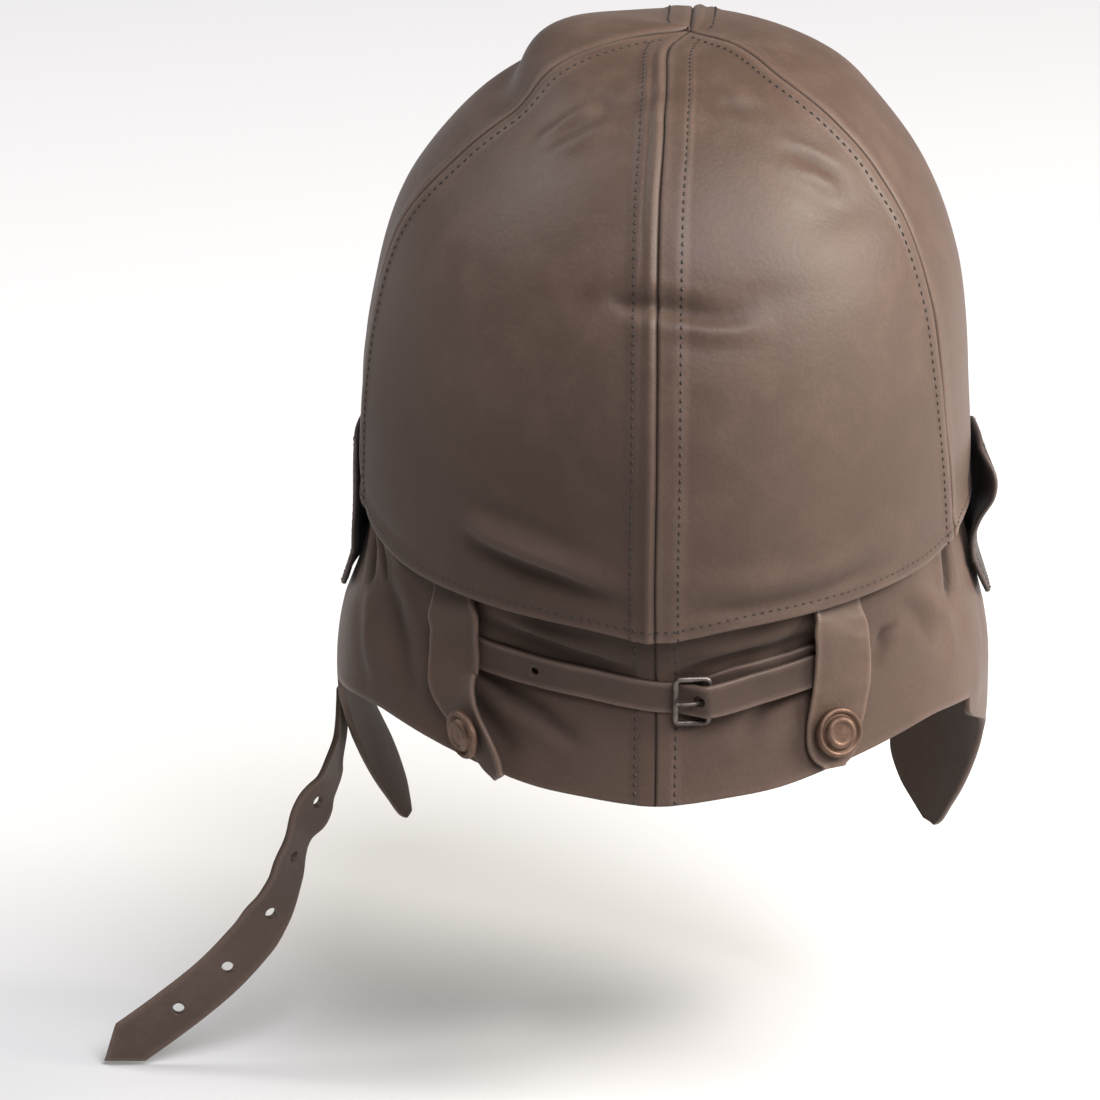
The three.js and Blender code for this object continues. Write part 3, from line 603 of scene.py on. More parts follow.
def leather(name, dark, base, light):
    material, nodes, links, shader = new_material(name, base, 0.5)
    patches = texture(nodes, links, "ShaderNodeTexNoise", 9, Detail=3.0, Roughness=0.5)
    mottle = texture(nodes, links, "ShaderNodeTexNoise", 70, Detail=5.0, Roughness=0.6)
    cells = texture(nodes, links, "ShaderNodeTexVoronoi", 780, feature="F1")
    pores = texture(nodes, links, "ShaderNodeTexNoise", 2100, Detail=2.0)
    fibres = texture(nodes, links, "ShaderNodeTexNoise", 300, Detail=6.0, Roughness=0.6)
    colour = blend(nodes, links, ramp(nodes, links, patches.outputs["Fac"], 0.3, 0.7), dark, base)
    spots = ramp(nodes, links, mottle.outputs["Fac"], 0.45, 0.8, 0, 0.3)
    colour = blend(nodes, links, spots, colour, light)
    wear_and_shade_data = nodes.new("ShaderNodeAttribute")
    wear_and_shade_data.attribute_name = "wear_and_shade"
    rubbed = ramp(nodes, links, wear_and_shade_data.outputs["Fac"], 0, 1, 0, 1)
    colour = blend(nodes, links, rubbed, colour, light)
    # Below 0 the value blends toward a dark painted shade colour, which also darkens the seam edges
    shade_amount = ramp(nodes, links, wear_and_shade_data.outputs["Fac"], 0, -1, 0, 0.8)
    painted_shade = tuple(c * k for c, k in zip(dark, (0.24, 0.2, 0.16)))
    colour = blend(nodes, links, shade_amount, colour, painted_shade)
    creases = ramp(nodes, links, cells.outputs["Distance"], 0.25, 0.75, 0, 0.15)
    colour = blend(nodes, links, creases, colour, tuple(c * 0.6 for c in dark))
    links.new(colour, shader.inputs["Base Color"])
    flesh = ramp(nodes, links, wear_and_shade_data.outputs["Fac"], 0, -0.5, 0, 0.3)
    grained = ramp(nodes, links, mottle.outputs["Fac"], 0.3, 0.7, 0.5, 0.6)
    rougher = nodes.new("ShaderNodeMath")
    links.new(flesh, rougher.inputs[0])
    links.new(grained, rougher.inputs[1])
    links.new(rougher.outputs[0], shader.inputs["Roughness"])
    shader.inputs["Sheen Weight"].default_value = 0.05
    shader.inputs["Sheen Roughness"].default_value = 0.4
    shader.inputs["Specular IOR Level"].default_value = 0.38
    last = None
    for source, strength, distance in (
        (fibres.outputs["Fac"], 0.22, 0.0004),
        (cells.outputs["Distance"], -0.14, 0.0003),
        (pores.outputs["Fac"], 0.1, 0.0002),
    ):
        bump = nodes.new("ShaderNodeBump")
        bump.invert = strength < 0
        bump.inputs["Strength"].default_value = abs(strength)
        bump.inputs["Distance"].default_value = distance
        links.new(source, bump.inputs["Height"])
        if last:
            links.new(last.outputs["Normal"], bump.inputs["Normal"])
        last = bump
    links.new(last.outputs["Normal"], shader.inputs["Normal"])
    return material


def metal(name, colour, tarnish, rough):
    material, nodes, links, shader = new_material(name, colour, rough, 0.85)
    spots = texture(nodes, links, "ShaderNodeTexNoise", 160, Detail=5.0, Roughness=0.65)
    fine = texture(nodes, links, "ShaderNodeTexNoise", 1920, Detail=3.0)
    mixed = blend(nodes, links, ramp(nodes, links, spots.outputs["Fac"], 0.4, 0.7), colour, tarnish)
    links.new(mixed, shader.inputs["Base Color"])
    dull = ramp(nodes, links, spots.outputs["Fac"], 0.35, 0.7, rough, rough + 0.25)
    links.new(dull, shader.inputs["Roughness"])
    bump = nodes.new("ShaderNodeBump")
    bump.inputs["Strength"].default_value = 0.25
    bump.inputs["Distance"].default_value = 0.0002
    links.new(fine.outputs["Fac"], bump.inputs["Height"])
    links.new(bump.outputs["Normal"], shader.inputs["Normal"])
    return material


def thread(name, dark, light):
    material, nodes, links, shader = new_material(name, light, 0.55)
    twist = texture(nodes, links, "ShaderNodeTexNoise", 900, Detail=3.0)
    mixed = blend(nodes, links, ramp(nodes, links, twist.outputs["Fac"], 0.3, 0.7), dark, light)
    links.new(mixed, shader.inputs["Base Color"])
    return material


HIDE = leather("crown_leather", linear(71, 54, 44), linear(80, 62, 52), linear(108, 88, 76))
TAB_HIDE = leather("tab_leather", linear(74, 57, 47), linear(82, 64, 53), linear(108, 88, 75))
STRAP_HIDE = leather("strap_leather", linear(66, 51, 43), linear(74, 58, 49), linear(104, 86, 76))
DARK_HIDE = leather("cover_leather", linear(42, 33, 28), linear(50, 40, 34), linear(92, 78, 74))
THREAD = thread("waxed_thread", linear(24, 18, 16), linear(46, 36, 31))
BRASS = metal("snap_brass", linear(108, 86, 73), linear(74, 57, 47), 0.46)
STEEL = metal("buckle_steel", linear(112, 104, 100), linear(52, 44, 40), 0.36)


# Crown panels
def ear_left(rise):
    return SEAMS("left", rise)


def ear_right(rise):
    return -SEAMS("right", rise)


def centre_seam(rise):
    return SEAMS("centre", rise)


def gore(start, end):
    def face(u, v):
        about = start(0.5) + (end(0.5) - start(0.5)) * u
        foot = rise_at(lip(about))
        rise = APEX_RISE + (foot - APEX_RISE) * v**0.92
        radius = HALF_WIDTH * np.minimum(CROWN("left", rise), CROWN("right", rise))
        inset = (SEAM_GAP / 2) / np.maximum(radius * DEGREE, 0.01)
        a, b = start(rise) + inset, end(rise) - inset
        return crown(a + (b - a) * u, rise)

    return face


# Creases and folds: mm to each side, depth in mm (less than 0 for a ridge), painted shade in the crease
# (less than 0 for a painted highlight), then their points as turn and share of the way up the crown or down
# the neck
CROWN_FOLDS = (
    (2.6, 1.5, 0.35, ((10, 0.572), (1.5, 0.56), (-7, 0.545), (-17, 0.532))),
    (1.8, 0.5, 0.45, ((11, 0.57), (7.5, 0.562), (4, 0.556))),
    (3.0, 1.0, 0.3, ((3, 0.9), (14, 0.885), (24, 0.87), (34, 0.885))),
    (4.0, -1.1, 0, ((20, 0.84), (28, 0.82), (38, 0.78))),
    (2.4, -0.9, 0, ((-2, 0.535), (-9, 0.52), (-20, 0.515))),
    (2.6, 1.1, 0.35, ((-17, 0.885), (-24, 0.872), (-34, 0.86))),
    (1.8, 0.9, 0.3, ((-34, 0.795), (-42, 0.765), (-50, 0.725))),
    (2.2, -0.7, 0, ((-30, 0.77), (-40, 0.735), (-47, 0.7))),
    # Painted highlight along this ridge
    (3.0, -2.3, -0.25, ((37, 0.172), (31.5, 0.158), (19, 0.137), (7, 0.1))),
    (3.0, 1.6, 0.5, ((38, 0.135), (29, 0.12), (17, 0.098), (5, 0.065))),
    (3.2, -0.9, 0, ((-6, 0.1), (-18, 0.09), (-34, 0.1), (-44, 0.13))),
    (2.2, 0.8, 0.2, ((-5, 0.06), (-18, 0.05), (-32, 0.06), (-42, 0.085))),
    (2.4, 0.8, 0.2, ((24, 0.86), (31, 0.83), (38, 0.8))),
    (2.2, -0.8, 0, ((30, 0.875), (38, 0.835), (44, 0.79))),
)
NECK_FOLDS = (
    (2.6, 1.9, 0.6, ((37, 0.15), (26, 0.2), (14, 0.235), (3, 0.24))),
    (2.6, 1.9, 0.6, ((-4, 0.235), (-15, 0.225), (-26, 0.205), (-34, 0.19))),
    (2.2, -1.0, 0, ((30, 0.1), (20, 0.12), (9, 0.125))),
    (2.0, -0.9, 0, ((-7, 0.13), (-14, 0.135), (-23, 0.12))),
    (2.4, 1.5, 0.6, ((33, 0.5), (27, 0.56), (20, 0.61), (13, 0.72))),
    (2.4, 1.5, 0.55, ((-30, 0.42), (-24, 0.49), (-19, 0.57), (-15, 0.69))),
    (2.6, 1.0, 0.35, ((38, 0.6), (31, 0.72), (24, 0.84))),
    (3.6, 1.5, 0.45, ((66, 0.24), (58, 0.38), (52, 0.54), (46, 0.8))),
    (3.2, -1.2, 0, ((72, 0.35), (64, 0.55), (57, 0.85))),
    (2.6, 1.1, 0.3, ((-46, 0.3), (-45, 0.42), (-42, 0.56))),
    (1.4, 0.8, 0.3, ((-50, 0.33), (-46, 0.37), (-44, 0.42))),
    (3.4, 1.2, 0.3, ((-53, 0.2), (-57, 0.38), (-59, 0.6))),
    (3.2, -0.8, 0, ((-60, 0.25), (-64, 0.45), (-64, 0.7))),
    (2.5, 2.8, 4.0, ((-73, -0.12), (-71.5, 0.13), (-68.5, 0.36))),
    (2.6, 2.8, 4.0, ((83, -0.12), (77, 0.14), (71, 0.38))),
    (1.0, 1.3, 1.5, ((77, -0.02), (70, 0.15), (65, 0.28))),
    (1.5, 1.0, 1.3, ((-37, 0.05), (-47, 0.04), (-58, 0.03), (-69, 0.02))),
    (1.5, 1.0, 1.3, ((78, 0.03), (66, 0.05), (56, 0.05))),
)
FOLD_STEPS = 36


def folds(rows, place, base):
    """Height and shade of creases at the points of a grid."""
    height, shade = np.zeros(base.shape[:2]), np.zeros(base.shape[:2])
    for wide, depth, dark, stops in rows:
        stops = np.array(stops, float)
        key = np.linspace(0, len(stops) - 1, FOLD_STEPS)
        way = np.arange(len(stops))
        line = place(np.interp(key, way, stops[:, 0]), np.interp(key, way, stops[:, 1]))
        gap = np.linalg.norm(base[:, :, None] - line, axis=-1)
        at = gap.argmin(-1)
        near = np.take_along_axis(gap, at[..., None], -1)[..., 0] / wide
        fade = np.sin((at + 0.5) / FOLD_STEPS * math.pi) ** 0.6
        height -= depth * fade * (np.exp(-(near**2)) - 0.3 * np.exp(-((near - 2.2) ** 2)))
        shade += dark * fade * np.exp(-(near**2) * 1.6)
    return height, shade


def panel_relief(near, painted_shade):
    """Raised seam allowances, grooves and puckers, with painted shade in the folds and toward the crown's
    lower part; near is the side of the centre seam.
    """

    def relief(sheet, u, v, base):
        centre = sheet.left if near == "left" else sheet.right
        other = sheet.right if near == "left" else sheet.left
        foot = sheet.bottom
        spread = step(4, 22, sheet.left + sheet.right)
        along = sheet.top
        h = 0.75 * step(8.6, 6.6, centre) * spread
        if near == "left":
            h += 0.55 * hump(centre, 2.1, 0.9) * spread - 0.35 * hump(centre, 4.2, 0.7) * spread
        h -= 0.35 * hump(centre, CENTRE_STITCH, 0.5) * spread
        h += 0.6 * step(6.4, 4.6, other) * spread
        h -= 0.3 * hump(other, EAR_STITCH, 0.5) * spread
        h += 0.5 * step(5.4, 4.2, foot) - 0.2 * hump(foot, 7.6, 0.7)
        h -= 0.3 * hump(foot, FOOT_STITCH, 0.5)
        for way, seed in ((centre, 3), (other, 5)):
            pucker = ripple(along / 11, way / 16 + 9, seed) + 0.5 * ripple(along / 5, way / 9, seed + 1)
            h += 0.28 * pucker * np.exp(-way / 16) * step(1, 7, way) * spread
        h += 0.22 * ripple(u * 9, along / 7, 11) * np.exp(-foot / 14) * step(1, 6, foot)
        h += 0.35 * ripple(base[..., 0] / 31, base[..., 2] / 24, 17 if near == "left" else 23)
        h += 0.1 * ripple(base[..., 0] / 14, base[..., 2] / 11, 29)
        fold, sheet.shade = folds(CROWN_FOLDS, crown, base)
        # Painted shade that grows toward the bottom of the crown and is strongest on the left back panel;
        # it also stands for that panel's darker leather
        sheet.shade += painted_shade * step(110, 25, base[..., 2])
        return h + fold

    return relief


def panel_wear_and_shade(sheet):
    sides = np.minimum(sheet.left, sheet.right)
    rubbed = 0.3 * hump(sides, 1.2, 0.9) + 0.35 * hump(sheet.bottom, 0.8, 0.7)
    return rubbed - 0.9 * hump(sides, 0, 0.35) - sheet.shade


seams = Stitches()
COLUMNS = 100
ROWS = 150
# Last column: amount of painted shade toward each panel's lower part
for name, start, end, near, painted_shade in (
    ("crown_back_left", centre_seam, ear_left, "left", 0.6),
    ("crown_back_right", ear_right, centre_seam, "right", 0.25),
    ("crown_front_left", ear_left, lambda r: 0 * r + 180, "right", 0.1),
    ("crown_front_right", lambda r: 0 * r - 180, ear_right, "left", 0),
):
    sheet = Sheet(
        gore(start, end), spaced(COLUMNS, 120), spaced(ROWS, 230), WALL, panel_relief(near, painted_shade), edge=1.1,
    )
    dress(sheet.make(name + "_leather", panel_wear_and_shade(sheet)), HIDE, [name])
    seams.row(*sheet.line(near, CENTRE_STITCH))
    if "back" in name:
        seams.row(*sheet.line("right" if near == "left" else "left", EAR_STITCH))
    seams.row(*sheet.line("bottom", FOOT_STITCH), **FINE_THREAD)


# Neck pieces
def neck_face(side):
    def face(u, v):
        seam = SEAMS("left" if side > 0 else "right", 0.0)
        inset = SEAM_GAP / 2 / (HALF_WIDTH * DEGREE)
        turn = side * (inset + (seam - 2 * inset) * u)
        return neck_at(turn, -TUCK + (1 + TUCK) * v)

    return face


def neck_relief(sheet, u, v, base):
    x, z = base[..., 0], base[..., 2]
    h = 0.5 * step(7.4, 5.6, sheet.left) - 0.3 * hump(sheet.left, NECK_STITCH, 0.5)
    gathers = ripple(x / 17, z / 26, 41) + 0.5 * ripple(x / 8, z / 15, 43)
    h += gathers * hump(z, -12, 11) * 0.9
    h += 0.4 * ripple(x / 26, z / 18, 47) * step(-20, -34, z)
    h += 0.3 * step(4.6, 3.6, sheet.bottom) - 0.2 * hump(sheet.bottom, 3.2, 0.5)
    fold, sheet.shade = folds(NECK_FOLDS, neck_at, base)
    return h * step(0, 9, sheet.right) + fold


# Last column: amount of painted shade over each neck piece, more on the left
for name, side, painted_shade in (("neck_left", 1, 0.6), ("neck_right", -1, 0.4)):
    sheet = Sheet(
        neck_face(side), spaced(150, 120), spaced(70, 60), WALL, neck_relief, edge=0.8, joined="right",
    )
    wear_and_shade = 0.4 * hump(sheet.bottom, 0.6, 0.8) - 0.8 * hump(sheet.left, 0, 0.4) - sheet.shade
    # Painted shade under the crown's lip near the centre back, then painted shade over the neck piece that
    # fades out toward the ear flap seam
    wear_and_shade = wear_and_shade - 0.5 * step(26, 6, sheet.top) * step(48, 36, np.abs(sheet.left + 4))
    wear_and_shade = wear_and_shade - painted_shade * step(0, 36, sheet.right)
    dress(sheet.make(name + "_leather", wear_and_shade), HIDE, [name])
    seams.row(*sheet.line("left", NECK_STITCH))


# Ear flaps
FLAP_LOWEST = EAR_FLAP.rows[-1, 0]
FLAP_REAR = EAR_FLAP.rows[0, 1]


def flap_face(side):
    def face(u, v):
        level = -TUCK + (FLAP_LOWEST + TUCK) * v
        seam = SEAMS("left" if side > 0 else "right", 0.0)
        inset = SEAM_GAP / 2 / (HALF_WIDTH * DEGREE)
        shift = (seam - FLAP_REAR) * step(1.5, 1.02, level)
        rear = np.maximum(seam, EAR_FLAP("rear", level) + shift) + inset
        front = EAR_FLAP("front", level)
        turn = side * (rear + (front - rear) * u)
        ease = step(0.35, 0, level)
        start = lip(turn) * ease + lip(90) * (1 - ease)
        point = neck(turn, start - level * NECK_DEPTH)
        if side > 0:
            point[..., 0] += NECK_DEPTH * EAR_FLAP("splay", level) * u * u
        return point

    return face


def flap_relief(sheet, u, v, base):
    y, z = base[..., 1], base[..., 2]
    h = 0.35 * ripple(y / 14, z / 19, 53) + 0.2 * ripple(y / 6, z / 9, 59)
    edge = np.minimum(sheet.right, sheet.bottom)
    fold, sheet.shade = folds(NECK_FOLDS, neck_at, base)
    h = h * 0.8 - 0.25 * hump(edge, FLAP_STITCH, 0.5) + 0.2 * step(4.0, 3.2, edge)
    return h * step(0, 9, sheet.left) + fold


for name, side in (("ear_flap_left", 1), ("ear_flap_right", -1)):
    sheet = Sheet(
        flap_face(side), spaced(50, 60), spaced(100, 130), WALL, flap_relief, edge=0.8, joined="left",
    )
    wear_and_shade = 0.4 * hump(sheet.nearest, 0.6, 0.8) - sheet.shade
    dress(sheet.make(name + "_leather", wear_and_shade), HIDE, [name])
    seams.row(*sheet.line("right", FLAP_STITCH))


# Strips laid on the neck piece
def strip(place, width, share_at):
    def middle(v):
        turn, z, off, roll = place(v)
        ahead = neck(turn + 0.5, z, 0) - neck(turn - 0.5, z, 0)
        return turn, z, off, roll * DEGREE, np.linalg.norm(ahead, axis=-1)

    def face(u, v):
        small = 0.01
        turn, z, off, roll, scale = middle(v)
        after, before = middle(np.minimum(1, v + small)), middle(np.maximum(0, v - small))
        run = (after[0] - before[0]) * scale
        fall = after[1] - before[1]
        length = np.hypot(run, fall)
        wide = (u - 0.5) * width * share_at(v)
        across = wide * np.cos(roll)
        raised = off + wide * np.sin(roll)
        return neck(turn + across * fall / length / scale, z - across * run / length, raised)

    return face


def round_end(v):
    t = np.maximum(0, (v - 0.84) / (1 - 0.84))
    return np.maximum(0.42, np.sqrt(np.maximum(0, 1 - t * t)))


def straight(v):
    return 1.0 + 0 * v


def tab_place(table, side):
    def place(v):
        turn = side * table("turn", v)
        z = neck_height(turn, table("down", v))
        off = TAB_THICKNESS * (1 + table("off", v))
        return turn, z, off, table("roll", v)

    return place


def nape_place(table):
    def place(v):
        turn = table("turn", v)
        z = neck_height(turn, table("down", v))
        return turn, z, STRAP_THICKNESS * (1 + table("off", v)), 0 * turn

    return place


def frame_of(face, u, v):
    small = 0.01
    place, east, south = face(
        np.array([[u, min(1, u + small), u]]), np.array([[v, v, min(1, v + small)]])
    )[0]
    west = face(np.array([[max(0, u - small)]]), np.array([[v]]))[0, 0]
    north = face(np.array([[u]]), np.array([[max(0, v - small)]]))[0, 0]
    down = unit(south - north)
    out = unit(np.cross(east - west, down))
    away = place.copy()
    away[2] = max(0, away[2] - HEAD_MIDDLE)
    out = out if out @ away > 0 else -out
    x = unit(np.cross(down, out))
    y = np.cross(out, x)
    return np.stack([x, y, out], -1), place


def punch(made, tools):
    """Cuts round holes with the given (matrix, place, diameter, length) tools."""
    cutters = []
    for axes, place, diameter, length in tools:
        ring = 28
        turn = np.arange(ring) / ring * 2 * math.pi
        circle = np.stack([np.cos(turn), np.sin(turn), 0 * turn], -1) * diameter / 2
        both = np.concatenate([circle + [0, 0, -length / 2], circle + [0, 0, length / 2]])
        faces = [tuple(reversed(range(ring))), tuple(range(ring, 2 * ring))]
        faces += [(i, (i + 1) % ring, ring + (i + 1) % ring, ring + i) for i in range(ring)]
        cutters.append(mesh_object("cutter", both @ axes.T + place, faces, False))
    for cutter in cutters:
        modifier = made.modifiers.new("hole", "BOOLEAN")
        modifier.object = cutter
        modifier.solver = "EXACT"
    graph = bpy.context.evaluated_depsgraph_get()
    mesh = bpy.data.meshes.new_from_object(made.evaluated_get(graph))
    made.modifiers.clear()
    made.data = mesh
    for cutter in cutters:
        bpy.data.objects.remove(cutter)
    return made


tab_left = strip(tab_place(TAB_LEFT, 1), TAB_WIDTH, round_end)
tab_right = strip(tab_place(TAB_RIGHT, -1), TAB_WIDTH, round_end)


def tab_relief(sheet, u, v, base):
    edge = np.minimum(sheet.left, sheet.right)
    h = 0.16 * ripple(u * 2 + 5, v * 9, 61) + 0.1 * ripple(u * 4, v * 18, 67)
    return h - 0.12 * hump(edge, 2.4, 0.5)


# Last column: painted shade over the whole tab
for name, face, painted_shade in (("snap_tab_left", tab_left, 0.5), ("snap_tab_right", tab_right, 0)):
    sheet = Sheet(face, spaced(16, TAB_WIDTH), spaced(90, 56), TAB_THICKNESS, tab_relief, edge=0.6)
    wear_and_shade = 0.6 * hump(np.minimum(sheet.left, sheet.right), 0.4, 0.6) + 0.5 * hump(sheet.bottom, 0.4, 0.7)
    # Painted shade near the top, where the tab goes under the lip
    wear_and_shade = wear_and_shade - 0.4 * step(15, 4, sheet.top) - painted_shade
    dress(sheet.make(name + "_leather", wear_and_shade), TAB_HIDE, [name])

nape_left = strip(nape_place(NAPE_LEFT), STRAP_WIDTH, lambda v: np.where(v > 0.97, 0.6, 1.0))
nape_right = strip(nape_place(NAPE_RIGHT), STRAP_WIDTH, straight)
# Distances from a strap's edges where its points lie closer together, in millimetres
STRAP_ROWS = (0.2, 0.5, 0.9)


def strap_relief(sheet, u, v, base):
    edge = np.minimum(sheet.left, sheet.right)
    return 0.1 * ripple(u * 2, v * 24, 71) - 0.14 * hump(edge, 1.5, 0.35)


for name, face, count in (("nape_strap_left", nape_left, 150), ("nape_strap_right", nape_right, 60)):
    sheet = Sheet(
        face, spaced(9, STRAP_WIDTH, STRAP_ROWS), spaced(count, 100), STRAP_THICKNESS, strap_relief,
        edge=0.45,
    )
    # Lighter rubbed edges over painted shade on the whole strap
    wear_and_shade = 0.85 * hump(np.minimum(sheet.left, sheet.right), 0.3, 0.5) - 0.4
    made = sheet.make(name + "_leather", wear_and_shade)
    if name == "nape_strap_left":
        holes = [(*frame_of(face, 0.5, v), NAPE_HOLE, 6) for v in NAPE_HOLES]
        holes.append((*frame_of(face, 0.5, PRONG_AT), PRONG_HOLE, 8))
        punch(made, holes)
    dress(made, STRAP_HIDE, [name])


# Snap caps, buckles and prong
def lathe(profile):
    ring = 48
    turn = np.arange(ring) / ring * 2 * math.pi
    points = [np.stack([np.cos(turn) * r, np.sin(turn) * r, 0 * turn + z], -1) for r, z in profile]
    return np.concatenate(points), tube_faces(len(profile), ring)


# Radius and height of the cap's outline, as shares of its half width and height
CAP_PROFILE = (
    (0.3, -0.22), (0.3, 0.0), (0.8, 0.0), (0.93, 0.06), (0.99, 0.2), (1.0, 0.36), (0.98, 0.54),
    (0.94, 0.66), (0.88, 0.72), (0.82, 0.7), (0.77, 0.6), (0.73, 0.5), (0.7, 0.5), (0.67, 0.62),
    (0.63, 0.82), (0.58, 0.92), (0.5, 0.97), (0.44, 0.96), (0.4, 0.9), (0.36, 0.88), (0.22, 0.9),
    (0.05, 0.94),
)
for name, face in (("snap_cap_left", tab_left), ("snap_cap_right", tab_right)):
    axes, place = frame_of(face, 0.5, CAP_ALONG)
    points, faces = lathe([(r * CAP_DIAMETER / 2, z * CAP_HEIGHT + CAP_LIFT) for r, z in CAP_PROFILE])
    made = mesh_object(name + "_metal", points @ axes.T + place, faces)
    dress(made, BRASS, [name])


def tube_ring(width, height, wire):
    """Closed frame of a bent round bar, with its back at height 0."""
    bar = wire / 2
    outer_bend = wire * 1.25
    bend = outer_bend - bar
    line = []
    for k, (right, up) in enumerate(((1, 1), (-1, 1), (-1, -1), (1, -1))):
        x, y = right * (width / 2 - outer_bend), up * (height / 2 - outer_bend)
        for turn in np.linspace(k * 90, k * 90 + 90, 7) * DEGREE:
            line.append((x + bend * math.cos(turn), y + bend * math.sin(turn)))
    line = np.array(line)
    count, ring = len(line), 14
    ahead = unit(np.roll(line, -1, 0) - np.roll(line, 1, 0))
    side = np.stack([ahead[:, 1], -ahead[:, 0]], -1)
    points, faces = [], []
    for (x, y), (out_x, out_y) in zip(line, side):
        for turn in np.arange(ring) / ring * 2 * math.pi:
            away = bar * math.cos(turn)
            points.append((x + out_x * away, y + out_y * away, bar + bar * math.sin(turn)))
    for j in range(count):
        here, there = j * ring, (j + 1) % count * ring
        for k in range(ring):
            after = (k + 1) % ring
            faces.append((here + k, here + after, there + after, there + k))
    return np.array(points), faces


def buckle_face(u, v):
    turn = BUCKLE_TURN + (0.5 - u) * 8
    return neck(turn, neck_height(turn, BUCKLE_DOWN) + (0.5 - v) * STRAP_WIDTH, 0)


buckle_axes, buckle_place = frame_of(buckle_face, 0.5, 0.5)
tilt_x, tilt_y = math.cos(BUCKLE_TILT * DEGREE), math.sin(BUCKLE_TILT * DEGREE)
buckle_axes = buckle_axes @ np.array([[tilt_x, -tilt_y, 0], [tilt_y, tilt_x, 0], [0, 0, 1]])
bar_lift = STRAP_THICKNESS * 1.25 + CLEAR * 2.6
points, faces = tube_ring(BUCKLE_WIDTH, BUCKLE_HEIGHT, BUCKLE_WIRE)
points = (points + [0, 0, bar_lift]) @ buckle_axes.T + buckle_place
dress(mesh_object("nape_buckle_metal", points, faces), STEEL, ["nape_buckle"])

# Way across the buckle and height, as shares of its width and of its wire
PRONG = ((-0.29, 0.5), (-0.2, 0.95), (-0.06, 1.55), (0.15, 1.75), (0.35, 1.7), (0.5, 1.62))
PRONG_STEPS = 24
PRONG_RING = 12
prong_line = np.array([(a * BUCKLE_WIDTH, 0, bar_lift + b * BUCKLE_WIRE) for a, b in PRONG])
way = np.linspace(0, len(PRONG) - 1, PRONG_STEPS)
prong_line = np.stack([np.interp(way, np.arange(len(PRONG)), prong_line[:, k]) for k in range(3)], -1)
prong_line[1:-1] = (prong_line[:-2] + prong_line[1:-1] * 2 + prong_line[2:]) / 4
ahead = unit(np.gradient(prong_line, axis=0))
across = np.array([0, 1, 0])
up = np.cross(ahead, across)
turn = np.arange(PRONG_RING) / PRONG_RING * 2 * math.pi
thinner = np.minimum(np.linspace(0.5, 6, PRONG_STEPS), np.linspace(8, 0.45, PRONG_STEPS))
size = (0.6 * np.minimum(1, thinner))[:, None, None]
loops = prong_line[:, None] + across * (np.cos(turn)[None, :, None] * size)
loops = loops + up[:, None] * (np.sin(turn)[None, :, None] * size)
points = loops.reshape(-1, 3) @ buckle_axes.T + buckle_place
prong = mesh_object("nape_prong_metal", points, tube_faces(PRONG_STEPS, PRONG_RING))
dress(prong, STEEL, ["nape_prong"])


# Ear covers
def side_face(turn, z, off):
    low = neck(turn, z, off)
    high = crown(turn, rise_at(z))
    high[..., 2] = z
    high = high + away_at(turn) * np.asarray(off)[..., None]
    far = np.hypot(high[..., 0], high[..., 1]) > np.hypot(low[..., 0], low[..., 1])
    return np.where(((z > lip(turn)) | far)[..., None], high, low)


def cover(sign):
    def face(u, v):
        rear = COVER("left" if sign > 0 else "right", v)
        front = COVER("front", v)
        narrowing = np.sqrt(1 - np.abs(2 * v - 1) ** 5 * 0.55)
        across = 0.5 + (u - 0.5) * narrowing
        span = COVER_LENGTH / (BACK_LENGTH * DEGREE)
        turn = sign * (COVER_TURN + span * across)
        z = COVER_TOP * COVER_HEIGHT - v * COVER_HEIGHT
        ease = (1 - across) ** 2
        return side_face(turn, z, WALL * (1 + front + (rear - front) * ease))

    return face


def cover_relief(sheet, u, v, base):
    return 0.12 * ripple(u * 4, v * 4, 73) - 0.2 * hump(sheet.nearest, COVER_STITCH, 0.4)


for name, sign in (("ear_cover_left", 1), ("ear_cover_right", -1)):
    sheet = Sheet(
        cover(sign), spaced(50, COVER_LENGTH), spaced(60, COVER_HEIGHT), WALL * 0.8, cover_relief, edge=0.6,
    )
    made = sheet.make(name + "_leather", 0.55 * hump(sheet.nearest, 0.4, 0.6))
    dress(made, DARK_HIDE, [name])
    for side in ("left", "right", "top", "bottom"):
        seams.row(*sheet.line(side, COVER_STITCH), **FINE_THREAD)


# Chin strap
chin_root = flap_face(1)(np.array([[CHIN_ROOT_ACROSS]]), np.array([[CHIN_ROOT_DOWN]]))[0, 0]
chin_root = chin_root + [CHIN_THICKNESS / 2 + CLEAR, 0, 0]


def chin_point(v):
    side, rear, down = (CHIN_PATH(c, v) - CHIN_PATH(c, 0.0) for c in ("side", "back", "down"))
    return CHIN_LENGTH * np.stack([side, rear, -down], -1) + chin_root


def chin_frame(v):
    small = 0.012
    ahead = unit(chin_point(np.minimum(1, v + small)) - chin_point(np.maximum(0, v - small)))
    level = unit(np.array([0.0, 1, 0]) - ahead * ahead[..., 1:2])
    other = np.cross(ahead, level)
    roll = (CHIN_PATH("roll", v) * DEGREE)[..., None]
    wide = level * np.cos(roll) + other * np.sin(roll)
    return wide, ahead, -np.cross(ahead, wide)


def chin_face(u, v):
    wide, _, out = chin_frame(v)
    taper = np.maximum(0.03, 1 - np.maximum(0, v - CHIN_TIP) / (1 - CHIN_TIP))
    return chin_point(v) + wide * ((u - 0.5) * CHIN_WIDTH * taper)[..., None] + out * CHIN_THICKNESS / 2


def chin_relief(sheet, u, v, base):
    edge = np.minimum(sheet.left, sheet.right)
    return 0.12 * ripple(u * 2, v * 20, 79) - 0.16 * hump(edge, 1.8, 0.35)


